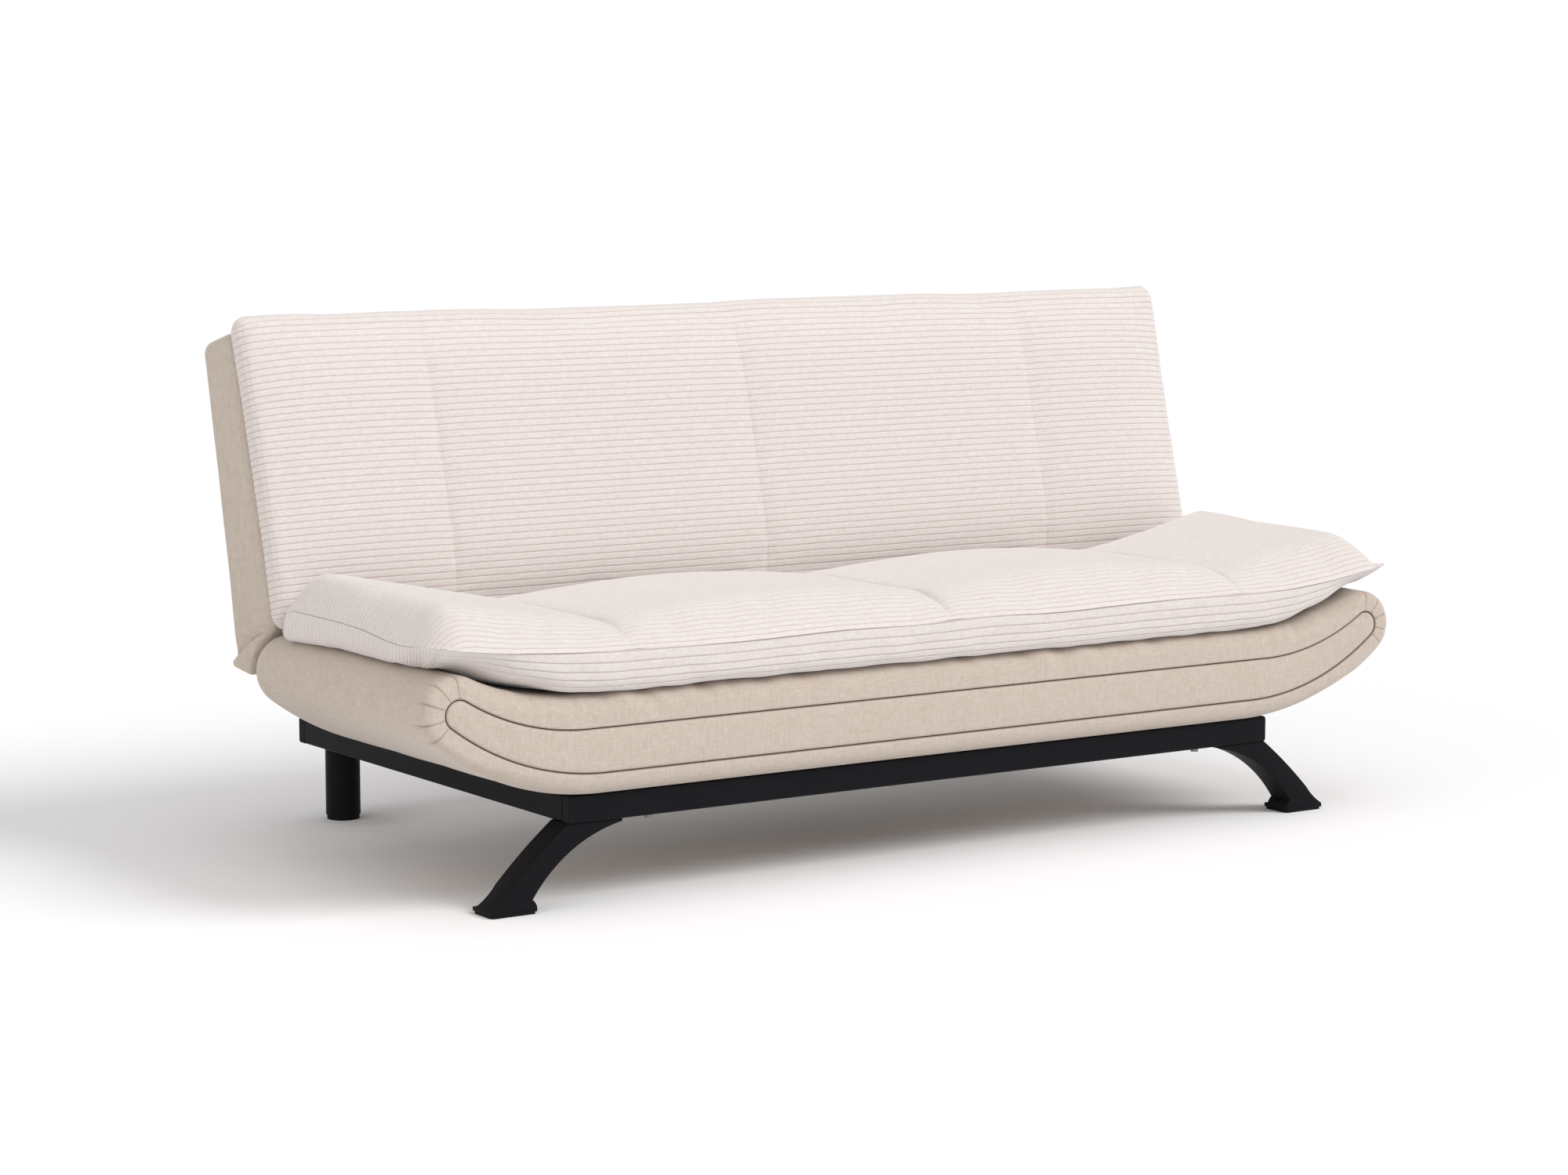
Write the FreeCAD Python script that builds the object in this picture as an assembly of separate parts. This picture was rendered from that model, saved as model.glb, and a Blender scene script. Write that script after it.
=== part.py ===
import FreeCAD, Part
import math
import os

V = FreeCAD.Vector

# Base frame of rectangular steel tube, mm. The front faces -Y.
leg_height = 136.0
rail_height = 45.0
rail_width = 25.0
rail_wall = 2.0
rail_corner = 5.0
frame_margin = 56.0
frame_set_back = 25.0
frame_depth = 940.0
cap_flange = 4.0
cap_depth = 20.0

# Front legs: curved in the front view, with a flat foot and a pad
leg_inset = 5.5
leg_depth = 52.0
leg_root = 100.0
leg_root_edge = 5.0
leg_swell = 2.5
leg_hollow = 20.0
foot_reach = 138.0
foot_width = 82.0
foot_depth = 61.0
foot_plate = 7.0
foot_flare = 8.0
foot_flare_height = 12.0
pad_thickness = 4.0
pad_margin = 1.0

# Rear legs: round tube with a closed top and a glide plugged in below
rear_leg_radius = 30.5
rear_leg_wall = 3.0
rear_leg_inset_x = 65.0
rear_leg_inset_y = 40.5
rear_leg_cap = 14.0
glide_height = 8.0
glide_step = 2.0
glide_plug = 18.0

# Plates inside the frame's corners, and the bolts of the legs and the seat
corner_plate = 96.0
corner_plate_thickness = 4.0
bolt_radius = 4.0
bolt_head_radius = 6.5
bolt_head_height = 5.0
bolt_clearance = 0.4
bolt_fit = 0.05
leg_bolt_depth = 9.0
leg_bolt_first = 42.0
leg_bolt_step = 26.0
rear_bolt_step = 18.0
seat_bolt_inset = 153.0
seat_bolt_grip = 40.0

# Seat border in the front view: flat in the middle, swept up to a round nose at each end
panel_height = 72.0
border_bottom = 36.0
border_top = 52.0
flat_half = 657.0
sweep_radius = 455.0
sweep_angle = math.radians(37.6)
nose_radius = 24.0
panel_rise_radius = 410.0
border_rise_radius = 450.0
seat_front_y = -470.0
border_depth = 565.0
bolster_thickness = 53.0
front_round = 30.0
rear_round = 46.0
facing_thickness = 12.0
facing_set = 1.0
facing_chamfer = 2.0
cloth_fit = 0.5

# Seat frame of pine and plywood
beam_thickness = 30.0
beam_margin = 2.0
beam_height = 60.0
slat_thickness = 10.0
slat_width = 62.0
seat_slat_count = 9
former_thickness = 18.0
former_places = (0.02, 0.36, 0.66)
bearer_width = 26.0
bearer_height = 42.0

# Ratchet hinges in slots near the ends
hinge_inset = 40.0
hinge_behind = 2.0
hinge_drop = 18.0
recline = math.radians(15.0)
plate_thickness = 4.0
plate_gap = 0.5
hinge_disc = 22.0
tooth_radius = 26.0
tooth_count = 8
tooth_pitch = math.radians(15.0)
pin_radius = 6.0
pin_head_radius = 9.5
pin_head = 3.0
head_play = 0.2
running_fit = 0.06
seat_fit = 0.02
slot_width = 30.0
seat_arm = 195.0
seat_arm_width = 28.0
seat_arm_rise = 8.5
back_arm = 260.0
back_arm_width = 32.0
pawl_pin_radius = 4.0
pawl_pin_back = 46.0
pawl_pin_drop = 23.0
pawl_eye = 9.0
pawl_clearance = 0.6
pawl_heel_rise = 2.0
pawl_crown_rise = 6.0
pawl_tip_rise = 1.0
pawl_tip_drop = 5.0
pawl_tip_set = 4.0
hinge_bolt_step = 42.0
hinge_bolt_grip = 20.0

# Backrest, measured along its front face (u, up) and across it (v, to the rear) from the hinge pin
back_inset = 30.0
back_face = 66.5
back_foot = 64.0
back_top = 562.0
rear_low = 85.0
rear_low_u = 48.5
rear_high = 42.0
shell_round = 24.0
shell_end_round = 20.0
shell_front_wall = 24.0
pocket_low = 102.0
pocket_high = 528.0
pocket_margin = 32.0
cover_thickness = 10.0
cover_set = 1.0
stile_width = 26.0
stile_depth = 62.0
back_beam_height = 40.0
back_slat_count = 7
back_slat_width = 70.0
lip_inset = 5.0
lip_heel_u = 12.0
lip_heel_swell = 3.0
lip_toe_u = 2.0
lip_toe_v = 36.0
lip_brow_u = 31.0
lip_brow_v = 10.5
lip_round = 9.0
lip_end_round = 5.0

# Seat mattress and the pillow top sewn on it
soft_gap = 0.3
mattress_inset = 38.0
mattress_thickness = 71.0
mattress_tip_rise = 28.0
mattress_overhang = 8.0
mattress_tuck = 34.0
mattress_sink = 8.0
mattress_swell = 6.0
mattress_behind = 16.0
pillow_overhang = 17.0
pillow_tuck = 11.6
pillow_tip = 8.0
end_panel = 324.0
pillow_crown = 54.0
wing_crown = 74.0
pillow_channel = 24.0
pillow_shoulder = 74.0
edge_draw = 8.0

# Topper on the back
topper_inset = 25.0
topper_low = 58.0
topper_high = 580.0
topper_edge = 46.0
topper_crown = 78.0
topper_channel = 52.0
topper_end = 42.0
topper_corner = 26.0
topper_bulge = 7.0
topper_draw = 7.0

# Fold of cover cloth between the mattress and the topper
fold_thickness = 3.0
fold_inset = 107.0
fold_lift = 8.0
fold_below_seam = 4.0
fold_span = 58.0
fold_rise = 22.0

sweep_reach = (sweep_radius - nose_radius) * math.sin(sweep_angle)
nose_x = flat_half + sweep_reach
seat_half_width = nose_x + nose_radius + border_bottom
frame_half_width = flat_half + frame_margin
frame_front_y = seat_front_y + frame_set_back
frame_rear_y = frame_front_y + frame_depth
seat_bolt_x = frame_half_width - seat_bolt_inset
base_top = leg_height + rail_height
panel_low = base_top + border_bottom
panel_high = panel_low + panel_height
seat_top = panel_high + border_top
border_rear_y = seat_front_y + border_depth
bolster_rear_y = border_rear_y + bolster_thickness
frame_in_x = frame_half_width - rail_width
frame_in_front = frame_front_y + rail_width
frame_in_rear = frame_rear_y - rail_width
hinge_x = nose_x - hinge_inset
hinge_y = bolster_rear_y + hinge_behind
hinge_z = seat_top - hinge_drop
back_half_width = seat_half_width - back_inset
lip_half_width = back_half_width - lip_inset
topper_half_width = seat_half_width - topper_inset
mattress_half_width = seat_half_width - mattress_inset
channel_x = mattress_half_width - end_panel
mattress_seam = seat_top + mattress_thickness
pillow_rear_y = hinge_y - (back_face + topper_crown) / math.cos(recline) + pillow_tuck
mattress_rear_y = pillow_rear_y + mattress_behind

parts = {}


def box(x0, x1, y0, y1, z0, z1):
    return Part.makeBox(x1 - x0, y1 - y0, z1 - z0, V(x0, y0, z0))


def round_z(x, y, z0, z1, radius):
    return Part.makeCylinder(radius, z1 - z0, V(x, y, z0))


def round_x(x0, x1, y, z, radius):
    return Part.makeCylinder(radius, x1 - x0, V(x0, y, z), V(1, 0, 0))


def arc(a, b, c):
    return Part.Arc(a, b, c).toShape()


def line(a, b):
    return Part.makeLine(a, b)


def bulged(a, b, bulge, normal):
    """Arc from a to b whose middle stands off the chord to its left, seen along normal."""
    side = normal.cross(b - a)
    side.normalize()
    return arc(a, (a + b) * 0.5 + side * bulge, b)


def mirrored(shape):
    return shape.mirror(V(0, 0, 0), V(1, 0, 0))


def group(shapes):
    return Part.makeCompound(shapes)


def both_sides(name, shape):
    """The right-hand piece as drawn, and its left-hand twin."""
    parts["right_" + name] = shape
    parts["left_" + name] = mirrored(shape)


def rounded_face(corners, place):
    """Face from corners (a, b, radius); place turns a pair (a, b) into a point in space."""
    stops = []
    for i, (a, b, radius) in enumerate(corners):
        before = corners[i - 1]
        after = corners[(i + 1) % len(corners)]
        here = V(a, b, 0)
        d0 = (V(before[0], before[1], 0) - here).normalize()
        d1 = (V(after[0], after[1], 0) - here).normalize()
        half = d0.getAngle(d1) / 2
        middle = (d0 + d1).normalize()
        reach = radius / math.tan(half)
        crest = here + middle * (radius / math.sin(half) - radius)
        stops.append((here + d0 * reach, crest, here + d1 * reach, radius))
    edges = []
    for i, (start, crest, end, radius) in enumerate(stops):
        if radius > 0:
            edges.append(arc(place(start.x, start.y), place(crest.x, crest.y), place(end.x, end.y)))
        follow = stops[(i + 1) % len(stops)][0]
        edges.append(line(place(end.x, end.y), place(follow.x, follow.y)))
    return Part.Face(Part.Wire(edges))


def edges_at(shape, axis, value):
    """Edges that lie wholly at one value of an axis (0 for X, 1 for Y)."""
    found = []
    for edge in shape.Edges:
        b = edge.BoundBox
        low, high = (b.XMin, b.XMax) if axis == 0 else (b.YMin, b.YMax)
        if abs(low - value) < 1e-4 and abs(high - value) < 1e-4:
            found.append(edge)
    return found


# Base frame
def tube(length, flat, tall):
    """Rectangular tube along X from the origin, centred on it in Y and Z."""
    def outline(shrink):
        a = flat / 2 - shrink
        b = tall / 2 - shrink
        r = max(rail_corner - shrink, 0.5)
        return rounded_face([(-a, -b, r), (a, -b, r), (a, b, r), (-a, b, r)], lambda p, q: V(0, p, q))
    outer = outline(0.0).extrude(V(length, 0, 0))
    return outer.cut(outline(rail_wall).extrude(V(length, 0, 0)))


rail_mid_z = leg_height + rail_height / 2


def rail_along_x(half_length, y_low):
    rail = tube(2 * half_length, rail_width, rail_height)
    rail.translate(V(-half_length, y_low + rail_width / 2, rail_mid_z))
    return rail


def rail_along_y(x_mid, y_low, y_high):
    rail = tube(y_high - y_low, rail_width, rail_height)
    rail.rotate(V(0, 0, 0), V(0, 0, 1), 90)
    rail.translate(V(x_mid, y_low, rail_mid_z))
    return rail


end_rail_half = frame_half_width - cap_flange
rear_beam_y = border_rear_y - beam_thickness
cross_rail_y = rear_beam_y + (beam_thickness - rail_width) / 2
facing_back_y = seat_front_y + facing_set + facing_thickness
seat_bolt_front_y = (max(frame_front_y, facing_back_y) + frame_in_front) / 2
seat_bolt_rear_y = rear_beam_y + beam_thickness / 2

front_rail = rail_along_x(end_rail_half, frame_front_y)
cross_rail = rail_along_x(frame_in_x, cross_rail_y)
seat_bolts = []
seat_bolt_holes = []
for x in (-seat_bolt_x, seat_bolt_x):
    for y in (seat_bolt_front_y, seat_bolt_rear_y):
        shank_top = panel_low + seat_bolt_grip
        shank = round_z(x, y, leg_height, shank_top, bolt_radius)
        head = round_z(x, y, leg_height - bolt_head_height, leg_height, bolt_head_radius)
        seat_bolts.append(head.fuse(shank).removeSplitter())
        seat_bolt_holes.append(round_z(x, y, leg_height - 1, panel_low, bolt_radius + bolt_clearance))
parts["base_front_rail"] = front_rail.cut(seat_bolt_holes)
parts["base_cross_rail"] = cross_rail.cut(seat_bolt_holes)
parts["base_rear_rail"] = rail_along_x(end_rail_half, frame_in_rear)
both_sides("base_side_rail", rail_along_y(frame_half_width - rail_width / 2, frame_in_front, frame_in_rear))
parts["base_centre_rail"] = rail_along_y(0, frame_in_front, cross_rail_y)
parts["seat_bolts"] = group(seat_bolts)

caps = []
for y_low in (frame_front_y, frame_in_rear):
    mid = y_low + rail_width / 2
    a = rail_width / 2
    b = rail_height / 2
    flange = rounded_face([(-a, -b, rail_corner), (a, -b, rail_corner), (a, b, rail_corner),
                           (-a, b, rail_corner)], lambda p, q: V(end_rail_half, mid + p, rail_mid_z + q))
    flange = flange.extrude(V(cap_flange, 0, 0))
    flange = flange.makeFillet(cap_flange * 0.75, edges_at(flange, 0, frame_half_width))
    inside = rail_wall + bolt_fit
    plug = box(end_rail_half - cap_depth, end_rail_half, y_low + inside + 1, y_low + rail_width - inside - 1,
               leg_height + inside + 1, base_top - inside - 1)
    cap = flange.fuse(plug).removeSplitter()
    caps += [cap, mirrored(cap)]
parts["rail_end_caps"] = group(caps)

# Front legs
foot_x = frame_half_width + foot_reach
foot_in_x = foot_x - foot_width
plate_top = pad_thickness + foot_plate
leg_y = frame_front_y + leg_inset


def leg_point(x, z):
    return V(x, leg_y, z)


along_y = V(0, -1, 0)
root_top = leg_point(frame_half_width - leg_root, leg_height)
root_low = leg_point(frame_half_width - leg_root, leg_height - leg_root_edge)
shoulder = leg_point(frame_half_width, leg_height)
toe = leg_point(foot_x, plate_top)
heel = leg_point(foot_in_x, plate_top)
neck = leg_point(foot_in_x + foot_flare, plate_top + foot_flare_height)
ankle = shoulder + (toe - shoulder) * 0.74
leg_wire = Part.Wire([
    line(root_top, shoulder),
    bulged(shoulder, ankle, leg_swell, along_y),
    bulged(ankle, toe, -leg_swell, along_y),
    line(toe, heel),
    bulged(heel, neck, foot_flare / 6, along_y),
    bulged(neck, root_low, -leg_hollow, along_y),
    line(root_low, root_top),
])
leg = Part.Face(leg_wire).extrude(V(0, leg_depth, 0))
sole = box(foot_in_x, foot_x, leg_y, leg_y + foot_depth, pad_thickness, plate_top)
leg = leg.fuse(sole).removeSplitter()
pad = box(foot_in_x + pad_margin, foot_x - pad_margin, leg_y + pad_margin,
          leg_y + foot_depth - pad_margin, 0, pad_thickness)
both_sides("front_pad", pad.makeFillet(pad_thickness * 1.5, [e for e in pad.Edges
                                                             if e.BoundBox.ZLength > pad_thickness * 0.9]))

# Corner plates, rear legs and the bolts that hold all four legs
plate_z = leg_height + corner_plate_thickness
rear_leg_x = frame_half_width - rear_leg_inset_x
rear_leg_y = frame_rear_y - rear_leg_inset_y
front_plate = box(frame_in_x - corner_plate, frame_in_x, frame_in_front, frame_in_front + corner_plate,
                  leg_height, plate_z)
rear_plate = box(frame_in_x - corner_plate, frame_in_x, frame_in_rear - corner_plate, frame_in_rear,
                 leg_height, plate_z)
bolt_y = (frame_in_front + leg_y + leg_depth) / 2
front_places = [(frame_half_width - leg_bolt_first - i * leg_bolt_step, bolt_y) for i in range(2)]
rear_places = [(rear_leg_x, rear_leg_y - i * rear_bolt_step) for i in range(2)]


def leg_bolt(place):
    x, y = place
    shank = round_z(x, y, leg_height - leg_bolt_depth, plate_z, bolt_radius)
    head = round_z(x, y, plate_z, plate_z + bolt_head_height, bolt_head_radius)
    return shank.fuse(head).removeSplitter()


def leg_bolt_hole(place, extra):
    x, y = place
    return round_z(x, y, leg_height - leg_bolt_depth - 1, plate_z + 1, bolt_radius + extra)


for place in front_places:
    front_plate = front_plate.cut(leg_bolt_hole(place, bolt_clearance))
    leg = leg.cut(leg_bolt_hole(place, bolt_fit))
both_sides("front_leg", leg)

rear_leg = round_z(rear_leg_x, rear_leg_y, glide_height, leg_height, rear_leg_radius)
hollow = round_z(rear_leg_x, rear_leg_y, glide_height, leg_height - rear_leg_cap,
                 rear_leg_radius - rear_leg_wall)
rear_leg = rear_leg.cut(hollow)
for place in rear_places:
    rear_plate = rear_plate.cut(leg_bolt_hole(place, bolt_clearance))
    rear_leg = rear_leg.cut(leg_bolt_hole(place, bolt_fit))
both_sides("rear_leg", rear_leg)
glide = round_z(rear_leg_x, rear_leg_y, 0, glide_height, rear_leg_radius - glide_step)
plug = round_z(rear_leg_x, rear_leg_y, glide_height, glide_height + glide_plug,
               rear_leg_radius - rear_leg_wall - bolt_fit)
both_sides("rear_glide", glide.fuse(plug).removeSplitter())
leg_bolts = [leg_bolt(place) for place in front_places + rear_places]
parts["leg_bolts"] = group(leg_bolts + [mirrored(bolt) for bolt in leg_bolts])
parts["corner_plates"] = group([front_plate, rear_plate, mirrored(front_plate), mirrored(rear_plate)])

# Seat border, facing and rear bolster
sweep_z = panel_low + sweep_radius
nose_z = sweep_z - (sweep_radius - nose_radius) * math.cos(sweep_angle)


def rise_centre_x(top, rise_radius, nose):
    """X of the centre of the arc that rises from the flat top to the nose circle."""
    climb = top + rise_radius - nose_z
    return nose_x - math.sqrt((rise_radius + nose) ** 2 - climb ** 2)


def seat_outline(y, grow, top, rise_radius):
    """Closed outline in the front view, grow mm outside the facing below and round the noses."""
    nose = nose_radius + grow
    sweep = sweep_radius + grow
    low = panel_low - grow
    rise_x = rise_centre_x(top, rise_radius, nose)
    rise_z = top + rise_radius
    lean = math.atan2(rise_z - nose_z, rise_x - nose_x)
    below = sweep_angle - math.pi / 2

    def on(cx, cz, radius, angle):
        return (cx + radius * math.cos(angle), cz + radius * math.sin(angle))

    run = [
        ((flat_half, low),
         on(flat_half, sweep_z, sweep, (below - math.pi / 2) / 2),
         on(flat_half, sweep_z, sweep, below)),
        (on(nose_x, nose_z, nose, below),
         on(nose_x, nose_z, nose, (below + lean) / 2),
         on(nose_x, nose_z, nose, lean)),
        (on(nose_x, nose_z, nose, lean),
         on(rise_x, rise_z, rise_radius, (lean - math.pi - math.pi / 2) / 2),
         (rise_x, top)),
    ]
    right = [arc(*[V(px, y, pz) for px, pz in stops]) for stops in run]
    left = [arc(*[V(-px, y, pz) for px, pz in reversed(stops)]) for stops in reversed(run)]
    over = line(V(rise_x, y, top), V(-rise_x, y, top))
    under = line(V(-flat_half, y, low), V(flat_half, y, low))
    return Part.Face(Part.Wire(right + [over] + left + [under]))


def border_outline(y, grow):
    return seat_outline(y, border_bottom + grow, seat_top + grow, border_rise_radius - grow)


def facing_outline(y, grow):
    return seat_outline(y, grow, panel_high + grow, panel_rise_radius - grow)


border = border_outline(seat_front_y, 0).extrude(V(0, border_depth, 0))
border = border.makeFillet(front_round, edges_at(border, 1, seat_front_y))
border = border.cut(facing_outline(seat_front_y, 0).extrude(V(0, border_depth, 0)))
parts["seat_border"] = border.cut(seat_bolt_holes)

facing = facing_outline(seat_front_y + facing_set, -cloth_fit).extrude(V(0, facing_thickness, 0))
parts["seat_facing"] = facing.makeChamfer(facing_chamfer, edges_at(facing, 1, seat_front_y + facing_set))

bolster = border_outline(border_rear_y, 0).extrude(V(0, bolster_thickness, 0))
bolster = bolster.makeFillet(rear_round, edges_at(bolster, 1, bolster_rear_y))
slot_mid = hinge_x
arm_floor = sweep_z - math.sqrt(sweep_radius ** 2 - (hinge_x - flat_half) ** 2)
arm_low = arm_floor + seat_arm_rise
slot_floor = min(arm_low, hinge_z - hinge_disc) - seat_arm_rise
slot = box(slot_mid - slot_width / 2, slot_mid + slot_width / 2, border_rear_y - 1, bolster_rear_y + 1,
           slot_floor, seat_top + 2 * border_top)
parts["seat_bolster"] = bolster.cut([slot, mirrored(slot)])

# Seat frame
beam_top = panel_low + beam_height
beam_end = flat_half - beam_margin
front_beam = box(-beam_end, beam_end, facing_back_y, facing_back_y + beam_thickness, panel_low, beam_top)
rear_beam = box(-beam_end, beam_end, rear_beam_y, border_rear_y, panel_low, beam_top)
beam_holes = []
for x in (-seat_bolt_x, seat_bolt_x):
    for y in (seat_bolt_front_y, seat_bolt_rear_y):
        beam_holes.append(round_z(x, y, panel_low - 1, panel_low + seat_bolt_grip + 1, bolt_radius + bolt_fit))
parts["seat_front_beam"] = front_beam.cut(beam_holes)
parts["seat_rear_beam"] = rear_beam.cut(beam_holes)
both_sides("seat_side_beam", box(beam_end - beam_thickness, beam_end, facing_back_y + beam_thickness,
                                 rear_beam_y, panel_low, beam_top))
slat_run = 2 * (beam_end - beam_thickness) - slat_width
slats = []
for i in range(seat_slat_count):
    x = -slat_run / 2 + slat_run * i / (seat_slat_count - 1)
    slats.append(box(x - slat_width / 2, x + slat_width / 2, facing_back_y, border_rear_y,
                     beam_top, beam_top + slat_thickness))
parts["seat_slats"] = group(slats)

former_run = border_rear_y - facing_back_y
formers = []
for share in former_places:
    y = facing_back_y + former_run * share
    blank = facing_outline(y, -cloth_fit).extrude(V(0, former_thickness, 0))
    keep = box(beam_end, nose_x + nose_radius, y, y + former_thickness, panel_low, seat_top + border_top)
    formers.append(blank.common(keep))
both_sides("wing_formers", group(formers))
former_back_y = facing_back_y + former_run * former_places[-1] + former_thickness
bearer_out = hinge_x - plate_thickness
bearer_mid_z = arm_low + seat_arm_width / 2
bearer = box(bearer_out - bearer_width, bearer_out, former_back_y, border_rear_y,
             bearer_mid_z - bearer_height / 2, bearer_mid_z + bearer_height / 2)
bearer = bearer.common(facing_outline(former_back_y, -cloth_fit).extrude(V(0, former_run, 0)))

# Hinge: plate on the seat
def in_side_view(x, points):
    wire = Part.makePolygon([V(x, y, z) for y, z in points + points[:1]])
    return Part.Face(wire).extrude(V(plate_thickness, 0, 0))


arm_y = hinge_y - seat_arm
arm_high = arm_low + seat_arm_width
seat_plate_x = hinge_x - plate_thickness
back_plate_x = hinge_x + plate_gap
outer_head_x = back_plate_x + plate_thickness + head_play
pawl_y = hinge_y - pawl_pin_back
pawl_z = hinge_z - pawl_pin_drop
seat_plate = in_side_view(seat_plate_x, [
    (arm_y, arm_low), (hinge_y - hinge_disc, arm_low), (hinge_y + hinge_disc * 0.3, hinge_z - hinge_disc * 0.9),
    (hinge_y, hinge_z), (hinge_y - hinge_disc * 0.7, hinge_z + hinge_disc * 0.7),
    (hinge_y - hinge_disc * 2, arm_high), (arm_y, arm_high)])
seat_plate = seat_plate.fuse(round_x(seat_plate_x, hinge_x, hinge_y, hinge_z, hinge_disc))
seat_plate = seat_plate.fuse(round_x(seat_plate_x, hinge_x, pawl_y, pawl_z, pawl_eye)).removeSplitter()
seat_plate = seat_plate.cut(round_x(seat_plate_x - 1, hinge_x + 1, hinge_y, hinge_z, pin_radius + seat_fit))
seat_plate = seat_plate.cut(round_x(seat_plate_x - 1, hinge_x + 1, pawl_y, pawl_z, pawl_pin_radius + seat_fit))


def pin(y, z, radius, head_radius):
    shaft = round_x(seat_plate_x, outer_head_x, y, z, radius)
    inner = round_x(seat_plate_x - pin_head, seat_plate_x, y, z, head_radius)
    outer = round_x(outer_head_x, outer_head_x + pin_head, y, z, head_radius)
    return shaft.fuse([inner, outer]).removeSplitter()


both_sides("hinge_pin", pin(hinge_y, hinge_z, pin_radius, pin_head_radius))
both_sides("pawl_pin", pin(pawl_y, pawl_z, pawl_pin_radius, pawl_eye - 1))
seat_hinge_bolts = []
for i in range(2):
    y = arm_y + pawl_eye + i * hinge_bolt_step
    head = round_x(hinge_x, hinge_x + bolt_head_height, y, bearer_mid_z, bolt_head_radius)
    shank = round_x(hinge_x - plate_thickness - hinge_bolt_grip, hinge_x, y, bearer_mid_z, bolt_radius)
    seat_hinge_bolts.append(shank.fuse(head).removeSplitter())
    seat_plate = seat_plate.cut(round_x(seat_plate_x - 1, hinge_x + 1, y, bearer_mid_z,
                                        bolt_radius + bolt_clearance))
    bearer = bearer.cut(round_x(bearer_out - hinge_bolt_grip - 1, bearer_out + 1, y, bearer_mid_z,
                                bolt_radius + bolt_fit))
both_sides("wing_bearer", bearer)
both_sides("hinge_seat_plate", seat_plate)
parts["seat_hinge_bolts"] = group(seat_hinge_bolts + [mirrored(bolt) for bolt in seat_hinge_bolts])

# Pawl, standing just clear of the teeth
tip_y = hinge_y - tooth_radius - pawl_clearance
pawl = in_side_view(back_plate_x, [
    (pawl_y - pawl_eye * 0.95, pawl_z), (pawl_y - pawl_eye * 0.5, hinge_z + pawl_heel_rise),
    (pawl_y + pawl_eye, hinge_z + pawl_crown_rise), (tip_y, hinge_z + pawl_tip_rise),
    (tip_y - pawl_tip_set, hinge_z - pawl_tip_drop), (pawl_y + pawl_eye * 0.95, pawl_z)])
pawl = pawl.fuse(round_x(back_plate_x, back_plate_x + plate_thickness, pawl_y, pawl_z, pawl_eye))
pawl = pawl.removeSplitter()
both_sides("pawl", pawl.cut(round_x(back_plate_x - 1, back_plate_x + plate_thickness + 1, pawl_y, pawl_z,
                                    pawl_pin_radius + running_fit)))

# Backrest
sin_r = math.sin(recline)
cos_r = math.cos(recline)


def back_point(x, u, v):
    return V(x, hinge_y + u * sin_r + v * cos_r, hinge_z + u * cos_r - v * sin_r)


def back_solid(half_width, corners):
    """Solid of one side profile (u, v, corner radius), from one end to the other."""
    face = rounded_face(corners, lambda u, v: back_point(-half_width, u, v))
    return face.extrude(V(2 * half_width, 0, 0))


def back_box(x0, x1, u0, u1, v0, v1):
    ends = [back_point(x0, u, v) for u, v in ((u0, v0), (u1, v0), (u1, v1), (u0, v1), (u0, v0))]
    return Part.Face(Part.makePolygon(ends)).extrude(V(x1 - x0, 0, 0))


def rear_v(u):
    return rear_low + (rear_high - rear_low) * (u - rear_low_u) / (back_top - rear_low_u)


shell = back_solid(back_half_width, [
    (back_foot, -back_face, shell_round), (back_top, -back_face, shell_round),
    (back_top, rear_high, shell_round), (rear_low_u, rear_low, shell_round)])
shell = shell.makeFillet(shell_end_round, edges_at(shell, 0, back_half_width)
                         + edges_at(shell, 0, -back_half_width))
pocket_half = back_half_width - pocket_margin
pocket_front = shell_front_wall - back_face
shell = shell.cut(back_box(-pocket_half, pocket_half, pocket_low, pocket_high, pocket_front, 2 * rear_low))
arm_half = back_arm_width / 2
arm_slot = back_box(hinge_x - slot_width / 2, hinge_x + slot_width / 2, -hinge_disc, pocket_low + 1,
                    -arm_half * 1.4, arm_half * 1.4)
parts["back_shell"] = shell.cut([arm_slot, mirrored(arm_slot)])

lip_foot = rear_low_u + (back_foot - rear_low_u) * 0.9
lip = back_solid(lip_half_width, [
    (lip_foot - soft_gap * 2, -back_face * 0.62, 0), (rear_low_u - soft_gap * 3, rear_low - shell_round * 0.3, 0),
    (rear_low_u - lip_round, rear_low + lip_round, lip_round * 0.8),
    (lip_heel_u, rear_low + lip_heel_swell, lip_round), (lip_toe_u, lip_toe_v, lip_round),
    (lip_brow_u, lip_brow_v, lip_round)])
lip = lip.makeFillet(lip_end_round, edges_at(lip, 0, lip_half_width) + edges_at(lip, 0, -lip_half_width))
above_lip = shell.translated(back_point(0, -soft_gap, 0) - back_point(0, 0, 0))
lip = lip.cut(above_lip)
parts["back_lip"] = lip.cut([arm_slot, mirrored(arm_slot)])

cover_fit = cloth_fit
cover_low = pocket_low + cover_fit
cover_high = pocket_high - cover_fit
parts["back_rear_cover"] = back_solid(pocket_half - cover_fit, [
    (cover_low, rear_v(cover_low) - cover_set - cover_thickness, 0),
    (cover_high, rear_v(cover_high) - cover_set - cover_thickness, 0),
    (cover_high, rear_v(cover_high) - cover_set, 0), (cover_low, rear_v(cover_low) - cover_set, 0)])

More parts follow.
